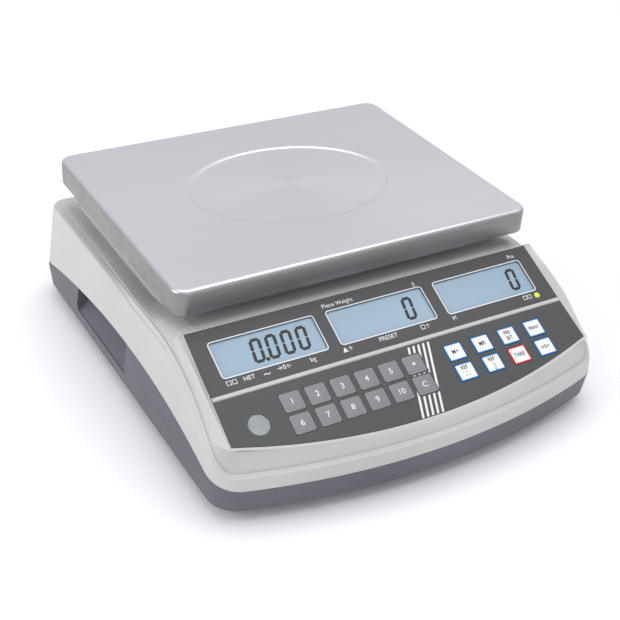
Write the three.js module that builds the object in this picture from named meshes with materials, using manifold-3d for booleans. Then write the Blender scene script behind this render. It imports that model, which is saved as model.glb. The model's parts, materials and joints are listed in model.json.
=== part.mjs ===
// Counting scale: a bench scale with a stainless weighing pan on a single load cell,
// a sloping console with three number displays, a numeric keypad and a function keypad.
// Millimetres, +Z up, front towards -Y, origin on the table under the middle of the scale.

import * as THREE from 'three';
import { mergeVertices } from 'three/addons/utils/BufferGeometryUtils.js';
import Module from 'manifold-3d';

const wasm = await Module();
wasm.setup();

// Overall size
const BODY_WIDTH = 320;
const BODY_DEPTH = 355;
const TOTAL_HEIGHT = 125;

// Fits
const GAP = 0.3; // between pieces that touch
const SLIDE_GAP = 0.4; // around a key or a rocker that moves
const REACH = 20; // how far a cutter runs past what it cuts
const ROOT = 1; // bosses, posts and flanges run this far into what carries them

// Housing shells
const WALL = 2.8;
const WALL_DRAFT = THREE.MathUtils.degToRad(7);
const WIDEST_Z = 27; // the shells lean in above and below this height
const WIDEST_BAND = 1; // upright band at the widest height
const REAR_CORNER = 20;
const FRONT_CORNER = 24;
const LEAST_CORNER = 1; // corner radius left where the inner walls are narrowest
const FRONT_RADIUS = 520; // the front is a shallow arc
const BASE_Z = 10; // underside of the lower housing
const FLOOR = 3;
const SHOULDER_Z = 81; // ledge beside and behind the raised deck
const CREASE_FRONT_Z = 40; // crease below the console's front lip
const CREASE_RISE = 1; // the crease starts this far above the shoulder
const CREASE_START = 11; // and this far behind the pan's middle
const CREASE_DROP = 2.6; // highest point of the crease below the deck
const CREASE_PEAK_RUN = 18.5; // and behind the console
const CREASE_PULL_REAR = { run: 32, drop: 7 }; // curve of the crease beside the console
const CREASE_PULL_FRONT = { run: 29, rise: 31 };
const CREASE_FRONT_RUN = 19.5; // end of that curve from the front
const RISE_PULL_FRONT = 32; // pulls of the crease's rise from the shoulder to the deck
const RISE_PULL_REAR = 40;
const CONSOLE_STEP = 2.5; // the console stands this far inside the crease
const RAIL_RISE = 0.9; // side rails above the deck
const RAIL_FRONT_RUN = 19.5; // end of the rails from the front
const RAIL_PULL_FRONT = 15;
const RAIL_PULL_DROP = 19;
const RAIL_PULL_REAR = 31.5;
const RAIL_SLOPE_RUN = 6; // the rails' inner sides lean out by this much
const RAIL_SLOPE_RISE = 10;
const BLOCK_RUN = 80; // the console's block slopes away below from here
const PART_REAR_Z = 27; // parting line between the two shells
const PART_PEAK_Z = 50;
const PART_PEAK_Y = -20;
const PART_FRONT_Z = 28;
const PART_REAR_PULL = { run: 47, rise: 11 };
const PART_PEAK_PULL_REAR = 80;
const PART_PEAK_PULL_FRONT = 80;
const PART_FRONT_RUN = 17.5; // level along the front as far back as this
const PART_FRONT_PULL = 17;

// Deck under the pan
const PAN_GAP = 11.3; // from the deck to the pan's rim
const DECK_INSET = 32; // raised deck, from the body's widest side
const DECK_REAR_INSET = 12;
const DECK_SLOPE_RUN = 8;
const DECK_CORNER = 18;

// Weighing pan
const PAN_WIDTH = 294;
const PAN_DEPTH = 225;
const PAN_HEIGHT = 18.6;
const PAN_SHEET = 1.2;
const PAN_CORNER = 11;
const PAN_FOLD = 3.2;
const PAN_FOLD_STEPS = 4;
const PAN_CORNER_STEPS = 6;
const PAN_REAR_GAP = 17.5; // from the body's rear to the pan

// Console
const CONSOLE_BEHIND_PAN_EDGE = 3.5; // the overlay starts this far in front of the pan
const FRONT_EDGE_Z = 47.8; // front end of the overlay, at the middle
const FRONT_LIP = 12; // from the overlay to the body's front
const OVERLAY_SIDE = 15.5; // from the body's widest side to the overlay
const OVERLAY_FLARE = 2.6; // the overlay widens by this much towards the front
const OVERLAY_SAGITTA = 22; // bow of the overlay's front edge
const FILM = 0.8; // overlay thickness
const RIDGE_START = 49.6; // raised ridge between the two overlays, down the slope
const RIDGE_WIDTH = 3.5;
const RIDGE_HEIGHT = 1.0;
const CONSOLE_WALL = 2.5;
const FACE_MARGIN = 1; // sunk face beyond the overlays

// Displays
const WINDOW_MARGIN = 13.5; // from the overlay's side to the first window
const WINDOW_SPACING = 11;
const WINDOW_TOP = 11.1;
const WINDOW_HEIGHT = 27.4;
const WINDOW_CORNER = 2;
const WINDOW_CORNER_STEPS = 3;
const LCD_BORDER = 1.2; // glass hidden behind the overlay on each side
const LCD_THICKNESS = 4;
const LCD_DEPTH = 1.4; // glass below the overlay's face

// Keys
const KEY_RISE = 0.5; // key face above the overlay
const KEY_TRAVEL = 0.5;
const KEY_CORNER = 1.2;
const KEY_CORNER_STEPS = 2;
const KEY_ROW_TOP = 68; // first key row, down the slope
const KEY_ROW_PITCH = 16.6;
const KEY_WELL_MARGIN = 0.8;
const NUMBER_KEY = { width: 15.3, height: 14.2, firstX: -93.7, pitch: 19.4 };
const FUNCTION_KEY = { width: 15, height: 13.4, firstX: 38.6, pitch: 23.8 };
const NUMBER_ROWS = [
  ['key_1', 'key_2', 'key_3', 'key_4', 'key_5', 'key_point'],
  ['key_6', 'key_7', 'key_8', 'key_9', 'key_10', 'key_clear'],
];
const FUNCTION_ROWS = [
  ['key_memory_add', 'key_memory_recall', 'key_preset', 'key_print'],
  ['key_reference_heap', 'key_reference_bottle', 'key_tare', 'key_zero'],
];

// Level, lamp and boards
const LEVEL_X = -122.2;
const LEVEL_DOWN = 76.6;
const LEVEL_DIAMETER = 15;
const LEVEL_WINDOW_THICKNESS = 1.5;
const LEVEL_WINDOW_DROP = 0.4;
const VIAL_DIAMETER = 13;
const VIAL_HEIGHT = 7;
const VIAL_DROP = 8.5; // vial below its window
const VIAL_FOOT_DIAMETER = 9;
const LAMP_X = 128.9;
const LAMP_DOWN = 43.4;
const LAMP_DIAMETER = 4.5;
const LAMP_LENGTH = 4;
const LAMP_RISE = 0.5;
const BOARD = 1.6;
const DISPLAY_BOARD_HEIGHT = 38;
const BOARD_MARGIN = 4;
const KEYPAD_BOARD_MARGIN = 1.2; // beyond the outer keys
const MAIN_BOARD_WIDTH = 170;
const MAIN_BOARD_DEPTH = 62;
const MAIN_BOARD_Z = 20;
const MAIN_BOARD_Y = -95;
const BOARD_POST_DIAMETER = 7;

// Load cell and pan support
const CELL_LENGTH = 130;
const CELL_WIDTH = 30;
const CELL_HEIGHT = 22;
const CELL_Z = 56;
const CELL_END = 30; // clamped length at each end
const CELL_EYE = 14; // the two joined holes that make the beam bend
const CELL_SLOT = 4.7;
const CELL_BASE_WIDTH = 44;
const SUPPORT_RISE = 13.9; // pan support above the deck
const SUPPORT_PLATE = 8;
const SUPPORT_ARM = 26;
const SUPPORT_CORNER = 8.7;
const SUPPORT_CORNER_STEPS = 4;
const SUPPORT_MIDDLE = 52;
const SUPPORT_SPAN_X = 196;
const SUPPORT_SPAN_Y = 140;
const HUB_SIZE = 24;
const HUB_CLEARANCE = 5;
const HUB_FLOOR = 10; // under the heads of its screws
const PAD_DIAMETER = 15;
const SCREW_DIAMETER = 5;
const SCREW_HEAD_DIAMETER = 9;
const SCREW_HEAD = 4;
const SCREW_HALF_PITCH = 6;
const SUPPORT_SCREW_BITE = 14;
const CELL_SCREW_BITE = 12;
const THREAD_SPARE = 4;
const STOP_GAP = 0.8; // overload stop below the beam
const STOP_DIAMETER = 8;
const STOP_BOSS_DIAMETER = 16;
const STOP_BOSS_HEIGHT = 6;
const STOP_NUT_DIAMETER = 13;
const STOP_NUT_HEIGHT = 6;
const NUT_SIDES = 6;

// Battery
const BATTERY_WIDTH = 101;
const BATTERY_DEPTH = 70;
const BATTERY_HEIGHT = 47;
const BATTERY_PLAY = 2;
const BATTERY_REAR = 20; // from the body's rear to the battery
const DOOR_THICKNESS = 2.6;
const DOOR_LAND = 5; // door edge resting on the housing floor

// Levelling feet
const FOOT_INSET_X = 36;
const FOOT_INSET_FRONT = 54;
const FOOT_INSET_REAR = 34;
const FOOT_PAD_DIAMETER = 24;
const FOOT_PAD_HEIGHT = 2.5;
const FOOT_WHEEL_DIAMETER = 28;
const FOOT_WHEEL_HEIGHT = 5.5;
const FOOT_KNURLS = 24;
const FOOT_KNURL_DEPTH = 0.6;
const FOOT_SCREW_DIAMETER = 8;
const FOOT_SCREW_LENGTH = 19;
const FOOT_BOSS_DIAMETER = 17;
const FOOT_BOSS_HEIGHT = 20;

// Hand grips under the upper shell's edge, one on each side
const GRIP_LENGTH = 96;
const GRIP_FLOOR_Z = 22;
const GRIP_DEPTH = 16;
const GRIP_EDGE = 2; // the floor starts this far inside the widest side
const GRIP_SILL_Z = 37; // where the sloping floor meets the back wall
const GRIP_ROOF = 2; // flange of the upper shell over the grip

// Rear sockets
const SOCKET_Z = 64;
const INLET = { x: 100, width: 30, height: 22, depth: 24, flange: 2 };
const SWITCH = { x: 68, width: 21, height: 15, depth: 16, flange: 1.6 };
const SERIAL = { x: -92, width: 31, height: 12.6, depth: 12, flange: 1.2 };
const SOCKET_LIP = 1.6; // flange beyond the cut-out
const SOCKET_CORNER = 1.5;
const SOCKET_CORNER_STEPS = 2;
const INLET_RIM = 3;
const INLET_CAVITY = 15;
const SERIAL_NOSE = { half: 8.6, high: 4.2, slant: 1.5, length: 2.4 };
const ROCKER_TILT = THREE.MathUtils.degToRad(9);
const ROCKER_WIDTH = 13;
const ROCKER_HEIGHT = 11;
const ROCKER_DEPTH = 7;
const ROCKER_END = 1; // rocker shorter than its well by this at each end
const ROCKER_TAPER = 1.5;
const ROCKER_CROWN = 0.4; // middle of the rocker above the bezel
const ROCKER_SPARE = 2; // below the rocker

// Curves
const ARC_STEPS = 8;
const EDGE_STEPS = 14; // the overlay's bowed edge
const ROUND_STEPS = 24;
const SMALL_ROUND_STEPS = 16;

// Positions that follow from the sizes
const halfWidth = BODY_WIDTH / 2;
const yFront = -BODY_DEPTH / 2;
const yRear = BODY_DEPTH / 2;
const panY = yRear - PAN_REAR_GAP - PAN_DEPTH / 2;
const panRimZ = TOTAL_HEIGHT - PAN_HEIGHT;
const deckZ = panRimZ - PAN_GAP;
const draftRise = deckZ + RAIL_RISE - WIDEST_Z;
const lean = draftRise * Math.tan(WALL_DRAFT);
const tightestCorner = lean + CONSOLE_STEP + WALL + LEAST_CORNER;
const supportZ = deckZ + SUPPORT_RISE;
const consoleY = panY - PAN_DEPTH / 2 - CONSOLE_BEHIND_PAN_EDGE;
const overlayRun = consoleY - (yFront + FRONT_LIP);
const consoleTilt = Math.atan2(deckZ - FRONT_EDGE_Z, overlayRun);
const overlayLength = Math.hypot(overlayRun, deckZ - FRONT_EDGE_Z);
const overlayHalf = halfWidth - OVERLAY_SIDE;
const windowWidth = (2 * overlayHalf - 2 * WINDOW_MARGIN - 2 * WINDOW_SPACING) / 3;
const windowPitch = windowWidth + WINDOW_SPACING;
const windowMiddle = WINDOW_TOP + WINDOW_HEIGHT / 2;
const seatDepth = FILM + GAP;
const keypadStart = RIDGE_START + RIDGE_WIDTH;
const floorTop = BASE_Z + FLOOR;
const gripY = panY;
const hubPlace = (CELL_LENGTH - CELL_END) / 2;

// Places on the sloping console: x across, y up the slope, z out of its face
const consoleFrame = new THREE.Group();
consoleFrame.position.set(0, consoleY, deckZ);
consoleFrame.rotation.x = consoleTilt;
consoleFrame.updateMatrixWorld();

const colours = {
  stainless: { color: 0xc5c6cb, roughness: 0.32, metalness: 1 },
  lightShell: { color: 0xd6d9d2, roughness: 0.5, metalness: 0 },
  darkShell: { color: 0x6b6d75, roughness: 0.55, metalness: 0 },
  overlay: { color: 0x505153, roughness: 0.45, metalness: 0 },
  display: { color: 0xa2bacf, roughness: 0.25, metalness: 0 },
  numberKey: { color: 0x848484, roughness: 0.5, metalness: 0 },
  functionKey: { color: 0xf4f5f7, roughness: 0.5, metalness: 0 },
  board: { color: 0x1f5a35, roughness: 0.6, metalness: 0 },
  aluminium: { color: 0xb9bbbe, roughness: 0.4, metalness: 1 },
  castAlloy: { color: 0x9a9da1, roughness: 0.6, metalness: 0.8 },
  steel: { color: 0xa8abb0, roughness: 0.35, metalness: 1 },
  rubber: { color: 0x242526, roughness: 0.85, metalness: 0 },
  blackPlastic: { color: 0x1d1e20, roughness: 0.5, metalness: 0 },
  clear: { color: 0xdfe8ea, roughness: 0.1, metalness: 0 },
  levelFluid: { color: 0xb7dc6a, roughness: 0.15, metalness: 0 },
  lamp: { color: 0xd7e146, roughness: 0.3, metalness: 0 },
  battery: { color: 0x3b4a66, roughness: 0.6, metalness: 0 },
};

const scale = new THREE.Group();
const consoleGroup = new THREE.Group();
consoleGroup.position.copy(consoleFrame.position);
consoleGroup.rotation.copy(consoleFrame.rotation);
scale.add(consoleGroup);

// ---- Solids ----

function solid(geometry) {
  const bare = geometry.clone();
  bare.deleteAttribute('normal');
  bare.deleteAttribute('uv');
  const merged = mergeVertices(bare, 1e-4);
  return new wasm.Manifold(new wasm.Mesh({
    numProp: 3,
    vertProperties: new Float32Array(merged.attributes.position.array),
    triVerts: new Uint32Array(merged.index.array),
  }));
}

function geometryOf(body) {
  const mesh = body.getMesh();
  const geometry = new THREE.BufferGeometry();
  geometry.setAttribute('position', new THREE.BufferAttribute(mesh.vertProperties, 3));
  geometry.setIndex(new THREE.BufferAttribute(mesh.triVerts, 1));
  geometry.computeVertexNormals();
  return geometry;
}

function addPiece(name, body, colour, group = scale) {
  const mesh = new THREE.Mesh(geometryOf(body), new THREE.MeshStandardMaterial(colours[colour]));
  mesh.name = name;
  group.add(mesh);
  return mesh;
}

function block(width, depth, height, x = 0, y = 0, z = 0) {
  return solid(new THREE.BoxGeometry(width, depth, height).translate(x, y, z));
}

// A block given by its lowest and highest corners
function blockBetween(low, high) {
  const size = high.map((value, axis) => value - low[axis]);
  const middle = high.map((value, axis) => (value + low[axis]) / 2);
  return block(...size, ...middle);
}

// A round bar along z, from bottom to top
function bar(diameter, bottom, top, x = 0, y = 0, steps = ROUND_STEPS) {
  const geometry = new THREE.CylinderGeometry(diameter / 2, diameter / 2, top - bottom, steps);
  geometry.rotateX(Math.PI / 2);
  return solid(geometry.translate(x, y, (top + bottom) / 2));
}

// A round bar along y through a middle point
function crossBar(diameter, length, x, y, z, steps) {
  const geometry = new THREE.CylinderGeometry(diameter / 2, diameter / 2, length, steps);
  return solid(geometry.translate(x, y, z));
}

function plate(shape, bottom, top, steps = ARC_STEPS) {
  const settings = { depth: top - bottom, bevelEnabled: false, curveSegments: steps };
  return solid(new THREE.ExtrudeGeometry(shape, settings).translate(0, 0, bottom));
}

// A shape drawn in y and z, swept along x
function sweepAcross(shape, xLow, xHigh, steps = ARC_STEPS) {
  const settings = { depth: xHigh - xLow, bevelEnabled: false, curveSegments: steps };
  const geometry = new THREE.ExtrudeGeometry(shape, settings).translate(0, 0, xLow);
  const turn = new THREE.Matrix4().makeBasis(
    new THREE.Vector3(0, 1, 0),
    new THREE.Vector3(0, 0, 1),
    new THREE.Vector3(1, 0, 0),
  );
  return solid(geometry.applyMatrix4(turn));
}

// A shape drawn in x and z, swept along y
function sweepBack(shape, yLow, yHigh, steps = ARC_STEPS) {
  const settings = { depth: yHigh - yLow, bevelEnabled: false, curveSegments: steps };
  const geometry = new THREE.ExtrudeGeometry(shape, settings).rotateX(Math.PI / 2);
  return solid(geometry.translate(0, yHigh, 0));
}

function onConsole(body) {
  return body.transform(consoleFrame.matrixWorld.elements);
}

function union(bodies) {
  return bodies.reduce((sum, body) => sum.add(body));
}

// ---- Outlines ----

function roundedRectangle(width, height, corner, x = 0, y = 0) {
  const left = x - width / 2;
  const right = x + width / 2;
  const low = y - height / 2;
  const high = y + height / 2;
  const shape = new THREE.Shape();
  shape.moveTo(left + corner, low);
  shape.lineTo(right - corner, low);
  shape.absarc(right - corner, low + corner, corner, -Math.PI / 2, 0);
  shape.lineTo(right, high - corner);
  shape.absarc(right - corner, high - corner, corner, 0, Math.PI / 2);
  shape.lineTo(left + corner, high);
  shape.absarc(left + corner, high - corner, corner, Math.PI / 2, Math.PI);
  shape.lineTo(left, low + corner);
  shape.absarc(left + corner, low + corner, corner, Math.PI, 1.5 * Math.PI);
  return shape;
}

// Plan of the housing: straight sides and rear, bowed front
function bodyOutline(inset) {
  const half = halfWidth - inset;
  const rear = yRear - inset;
  const frontRadius = FRONT_RADIUS - inset;
  const frontCentre = yFront + FRONT_RADIUS;
  const corner = Math.max(FRONT_CORNER, tightestCorner) - inset;
  const rearCorner = Math.max(REAR_CORNER, tightestCorner) - inset;
  const cornerX = half - corner;
  const swing = Math.asin(cornerX / (frontRadius - corner));
  const cornerY = frontCentre - (frontRadius - corner) * Math.cos(swing);
  const shape = new THREE.Shape();
  shape.absarc(0, frontCentre, frontRadius, -Math.PI / 2 - swing, -Math.PI / 2 + swing);
  shape.absarc(cornerX, cornerY, corner, -Math.PI / 2 + swing, 0);
  shape.lineTo(half, rear - rearCorner);
  shape.absarc(half - rearCorner, rear - rearCorner, rearCorner, 0, Math.PI / 2);
  shape.lineTo(-half + rearCorner, rear);
  shape.absarc(-half + rearCorner, rear - rearCorner, rearCorner, Math.PI / 2, Math.PI);
  shape.lineTo(-half, cornerY);
  shape.absarc(-cornerX, cornerY, corner, Math.PI, 1.5 * Math.PI - swing);
  return shape;
}

// The whole housing's leaning walls, inset by a wall
function leaningBody(inset) {
  const geometry = new THREE.ExtrudeGeometry(bodyOutline(inset), {
    depth: WIDEST_BAND,
    bevelThickness: draftRise,
    bevelSize: lean,
    bevelOffset: -lean,
    bevelSegments: 1,
    curveSegments: ARC_STEPS,
  });
  return solid(geometry.translate(0, 0, WIDEST_Z));
}

// The parting line is arched along the sides
function partingCurve(shape, lift) {
  shape.lineTo(yRear + REACH, PART_REAR_Z + lift);
  shape.lineTo(yRear, PART_REAR_Z + lift);
  shape.bezierCurveTo(
    yRear - PART_REAR_PULL.run, PART_REAR_Z + PART_REAR_PULL.rise + lift,
    PART_PEAK_Y + PART_PEAK_PULL_REAR, PART_PEAK_Z + lift,
    PART_PEAK_Y, PART_PEAK_Z + lift,
  );
  shape.bezierCurveTo(
    PART_PEAK_Y - PART_PEAK_PULL_FRONT, PART_PEAK_Z + lift,
    yFront + PART_FRONT_RUN + PART_FRONT_PULL, PART_FRONT_Z + lift,
    yFront + PART_FRONT_RUN, PART_FRONT_Z + lift,
  );
  shape.lineTo(yFront - REACH, PART_FRONT_Z + lift);
}

// Side view of the leaning side wall, up to the crease
function wallProfile() {
  const start = panY + CREASE_START;
  const shape = new THREE.Shape();
  shape.moveTo(yRear + REACH, SHOULDER_Z);
  partingCurve(shape, GAP / 2);
  shape.lineTo(yFront - REACH, CREASE_FRONT_Z);
  const peakY = consoleY + CREASE_PEAK_RUN;
  const peakZ = deckZ - CREASE_DROP;
  const end = yFront + CREASE_FRONT_RUN;
  shape.lineTo(end, CREASE_FRONT_Z);
  shape.bezierCurveTo(
    end + CREASE_PULL_FRONT.run, CREASE_FRONT_Z + CREASE_PULL_FRONT.rise,
    peakY - CREASE_PULL_REAR.run, peakZ - CREASE_PULL_REAR.drop,
    peakY, peakZ,
  );
  shape.bezierCurveTo(
    peakY + RISE_PULL_FRONT, peakZ,
    start - RISE_PULL_REAR, SHOULDER_Z + CREASE_RISE,
    start, SHOULDER_Z + CREASE_RISE,
  );
  shape.lineTo(start, SHOULDER_Z);
  return shape;
}

// Side view of the ledge and the console's side rails
function railProfile() {
  const start = panY + CREASE_START;
  const top = deckZ + RAIL_RISE;
  const shape = new THREE.Shape();
  shape.moveTo(yRear + REACH, SHOULDER_Z);
  partingCurve(shape, GAP / 2);
  shape.lineTo(yFront - REACH, CREASE_FRONT_Z);
  shape.lineTo(yFront + RAIL_FRONT_RUN, CREASE_FRONT_Z);
  shape.bezierCurveTo(
    yFront + RAIL_FRONT_RUN + RAIL_PULL_FRONT, deckZ - RAIL_PULL_DROP,
    consoleY - RAIL_PULL_REAR, top,
    consoleY, top,
  );
  shape.bezierCurveTo(
    consoleY + CREASE_PEAK_RUN + RISE_PULL_FRONT, top,
    start - RISE_PULL_REAR, SHOULDER_Z + 2 * CREASE_RISE,
    start, SHOULDER_Z + 2 * CREASE_RISE,
  );
  shape.lineTo(start, SHOULDER_Z);
  return shape;
}

// Side view of the console's block in front of the deck, along its sloping face
function consoleProfile(drop, rear) {
  const reach = yFront - REACH;
  const slope = Math.tan(consoleTilt);
  const shape = new THREE.Shape();
  shape.moveTo(rear, deckZ - drop);
  shape.lineTo(rear, SHOULDER_Z - REACH);
  shape.lineTo(yFront + BLOCK_RUN, CREASE_FRONT_Z - REACH);
  shape.lineTo(reach, CREASE_FRONT_Z - REACH);
  shape.lineTo(reach, deckZ - drop - (consoleY - reach) * slope);
  shape.lineTo(consoleY, deckZ - drop);
  return shape;
}

// Width of the overlay at a distance down the slope
function overlayHalfAt(down) {
  return overlayHalf + OVERLAY_FLARE * Math.max(0, down - RIDGE_START) / (overlayLength - RIDGE_START);
}

function displayOverlayShape(grow) {
  const shape = new THREE.Shape();
  shape.moveTo(-overlayHalf - grow, -RIDGE_START - grow);
  shape.lineTo(overlayHalf + grow, -RIDGE_START - grow);
  shape.lineTo(overlayHalf + grow, grow);
  shape.lineTo(-overlayHalf - grow, grow);
  return shape;
}

function keypadOverlayShape(grow) {
  const cornerDown = overlayLength - OVERLAY_SAGITTA;
  const cornerX = overlayHalfAt(cornerDown) + grow;
  const start = overlayHalfAt(keypadStart) + grow;
  const shape = new THREE.Shape();
  shape.moveTo(-start, -keypadStart + grow);
  shape.lineTo(-cornerX, -cornerDown - grow);
  shape.quadraticCurveTo(0, -overlayLength - OVERLAY_SAGITTA - grow, cornerX, -cornerDown - grow);
  shape.lineTo(start, -keypadStart + grow);
  return shape;
}

// ---- Key places ----

function keyPlaces(rows, key) {
  return rows.flatMap((names, row) => names.map((name, column) => ({
    name,
    x: key.firstX + key.pitch * column,
    y: -(KEY_ROW_TOP + KEY_ROW_PITCH * row),
    width: key.width,
    height: key.height,
  })));
}

function keyBlockExtent(places, margin) {
  const xs = places.map((place) => place.x);
  const ys = places.map((place) => place.y);
  const sideways = places[0].width / 2 + margin;
  const along = places[0].height / 2 + margin;
  return {
    low: [Math.min(...xs) - sideways, Math.min(...ys) - along],
    high: [Math.max(...xs) + sideways, Math.max(...ys) + along],
  };
}

const numberKeys = keyPlaces(NUMBER_ROWS, NUMBER_KEY);
const functionKeys = keyPlaces(FUNCTION_ROWS, FUNCTION_KEY);
const keyBottom = -(seatDepth + CONSOLE_WALL) + SLIDE_GAP;
const keyBoardTop = keyBottom - KEY_TRAVEL - SLIDE_GAP;

// ---- Housing shells ----

function raisedDeck(inset) {
  const front = consoleY + inset;
  const rear = yRear - DECK_REAR_INSET - inset;
  const width = BODY_WIDTH - 2 * (DECK_INSET + inset) + 2 * DECK_SLOPE_RUN;
  const height = deckZ - SHOULDER_Z;
  const depth = rear - front + 2 * DECK_SLOPE_RUN;
  const outline = roundedRectangle(width, depth, DECK_CORNER, 0, (front + rear) / 2);
  const geometry = new THREE.ExtrudeGeometry(outline, {
    depth: WIDEST_BAND,
    bevelThickness: height,
    bevelSize: DECK_SLOPE_RUN,
    bevelOffset: -DECK_SLOPE_RUN,
    bevelSegments: 1,
    curveSegments: ARC_STEPS,
  });
  return solid(geometry.translate(0, 0, SHOULDER_Z - inset - WIDEST_BAND))
    .intersect(leaningBody(CONSOLE_STEP + inset))
    .trimByPlane([0, 0, 1], SHOULDER_Z - WALL - inset);
}

const windowPlaces = [-1, 0, 1].map((place) => place * windowPitch);

// The film's windows have round corners
function filmWindows() {
  return union(windowPlaces.map((x) => plate(
    roundedRectangle(windowWidth, WINDOW_HEIGHT, WINDOW_CORNER, x, -windowMiddle),
    -REACH,
    REACH,
    WINDOW_CORNER_STEPS,
  )));
}

// The glass and the opening it sits in are square
function glassBlock(x, grow, bottom, top) {
  const width = windowWidth + 2 * (LCD_BORDER + grow);
  const height = WINDOW_HEIGHT + 2 * (LCD_BORDER + grow);
  return block(width, height, top - bottom, x, -windowMiddle, (top + bottom) / 2);
}

function consoleCuts() {
  const through = -1.5 * REACH;
  const above = 2 * REACH;
  const rearHalf = overlayHalf + FACE_MARGIN + RAIL_SLOPE_RUN;
  const frontHalf = overlayHalfAt(overlayLength) + FACE_MARGIN + RAIL_SLOPE_RUN;
  const openFront = new THREE.Shape();
  openFront.moveTo(-rearHalf, above);
  openFront.lineTo(-rearHalf, -RIDGE_START);
  openFront.lineTo(-frontHalf, -overlayLength);
  openFront.lineTo(-frontHalf, -overlayLength - above);
  openFront.lineTo(frontHalf, -overlayLength - above);
  openFront.lineTo(frontHalf, -overlayLength);
  openFront.lineTo(rearHalf, -RIDGE_START);
  openFront.lineTo(rearHalf, above);
  const wells = [numberKeys, functionKeys].map((places) => {
    const extent = keyBlockExtent(places, KEY_WELL_MARGIN);
    return blockBetween([...extent.low, -REACH], [...extent.high, 0]);
  });
  const opening = new THREE.ExtrudeGeometry(openFront, {
    depth: REACH,
    bevelThickness: RAIL_SLOPE_RISE,
    bevelSize: RAIL_SLOPE_RUN,
    bevelOffset: -RAIL_SLOPE_RUN,
    bevelSegments: 1,
  });
  return union([
    solid(opening.translate(0, 0, RAIL_SLOPE_RISE)),
    plate(displayOverlayShape(GAP), -seatDepth, REACH),
    plate(keypadOverlayShape(GAP), -seatDepth, REACH, EDGE_STEPS),
    ...windowPlaces.map((x) => glassBlock(x, GAP, -REACH, 0)),
    ...wells,
    keypadBoard(GAP),
    bar(LEVEL_DIAMETER + 2 * GAP, through, 0, LEVEL_X, -LEVEL_DOWN),
    bar(LAMP_DIAMETER + 2 * GAP, through, 0, LAMP_X, -LAMP_DOWN, SMALL_ROUND_STEPS),
  ]);
}

function rearFrame(socket) {
  const frame = new THREE.Group();
  const inset = (SOCKET_Z - WIDEST_Z - WIDEST_BAND) * Math.tan(WALL_DRAFT);
  frame.position.set(socket.x, yRear - inset, SOCKET_Z);
  frame.rotation.set(-Math.PI / 2 + WALL_DRAFT, 0, 0, 'XYZ');
  frame.updateMatrixWorld();
  return frame;
}

function socketCut(socket) {
  const hole = block(socket.width, socket.height, 2 * REACH);
  return hole.transform(rearFrame(socket).matrixWorld.elements);
}

function upperHousing() {
  const walls = leaningBody(0).intersect(sweepAcross(wallProfile(), -halfWidth, halfWidth));
  const rails = leaningBody(CONSOLE_STEP).intersect(sweepAcross(railProfile(), -halfWidth, halfWidth));
  const face = leaningBody(CONSOLE_STEP)
    .intersect(sweepAcross(consoleProfile(0, consoleY + REACH), -halfWidth, halfWidth));
  const ridge = blockBetween(
    [-overlayHalf, -keypadStart + GAP, -seatDepth],
    [overlayHalf, -RIDGE_START - GAP, RIDGE_HEIGHT],
  );
  const hollow = leaningBody(CONSOLE_STEP + WALL)
    .intersect(sweepAcross(hollowProfile(), -halfWidth, halfWidth));
  const consoleHalf = overlayHalf - WALL;
  const consoleHollow = sweepAcross(
    consoleProfile(CONSOLE_WALL + seatDepth, consoleY + WALL + DECK_SLOPE_RUN),
    -consoleHalf,
    consoleHalf,
  ).intersect(leaningBody(CONSOLE_STEP + WALL));
  const hubSide = HUB_SIZE + 2 * HUB_CLEARANCE;
  return union([walls, rails, face, raisedDeck(0)])
    .intersect(sweepAcross(upperLimit(), -halfWidth, halfWidth))
    .subtract(onConsole(consoleCuts()))
    .add(onConsole(ridge))
    .subtract(hollow)
    .subtract(raisedDeck(WALL))
    .subtract(consoleHollow)
    .subtract(block(hubSide, hubSide, 2 * REACH, hubPlace, panY, deckZ))
    .subtract(union([INLET, SWITCH, SERIAL].map(socketCut)))
    .add(union([gripRoof(-1), gripRoof(1)]));
}

// Everything above the parting line
function upperLimit() {
  const shape = new THREE.Shape();
  shape.moveTo(yRear + REACH, TOTAL_HEIGHT);
  partingCurve(shape, GAP / 2);
  shape.lineTo(yFront - REACH, TOTAL_HEIGHT);
  return shape;
}

function hollowProfile() {
  const slope = Math.tan(consoleTilt);
  const drop = seatDepth + CONSOLE_WALL;
  const top = SHOULDER_Z - WALL;
  const bend = consoleY - (deckZ - drop - top) / slope;
  const shape = new THREE.Shape();
  shape.moveTo(yRear + REACH, top);
  shape.lineTo(yRear + REACH, -REACH);
  shape.lineTo(yFront - REACH, -REACH);
  shape.lineTo(yFront - REACH, deckZ - drop - (consoleY - yFront + REACH) * slope);
  shape.lineTo(bend, top);
  return shape;
}

function lowerLimit(lift) {
  const shape = new THREE.Shape();
  shape.moveTo(yRear + REACH, BASE_Z);
  partingCurve(shape, lift);
  shape.lineTo(yFront - REACH, BASE_Z);
  return shape;
}

// A flange of the upper shell that closes the top of a hand grip
function gripRoof(side) {
  const edges = [side * (halfWidth - GRIP_DEPTH - WALL), side * halfWidth];
  const half = GRIP_LENGTH / 2 + WALL;
  const above = sweepAcross(lowerLimit(GAP / 2 + GRIP_ROOF), -halfWidth, halfWidth);
  const below = sweepAcross(lowerLimit(GAP / 2), -halfWidth, halfWidth);
  const region = blockBetween(
    [Math.min(...edges), gripY - half, BASE_Z],
    [Math.max(...edges), gripY + half, deckZ],
  );
  return above.subtract(below).intersect(region).intersect(leaningBody(0));
}

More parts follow.
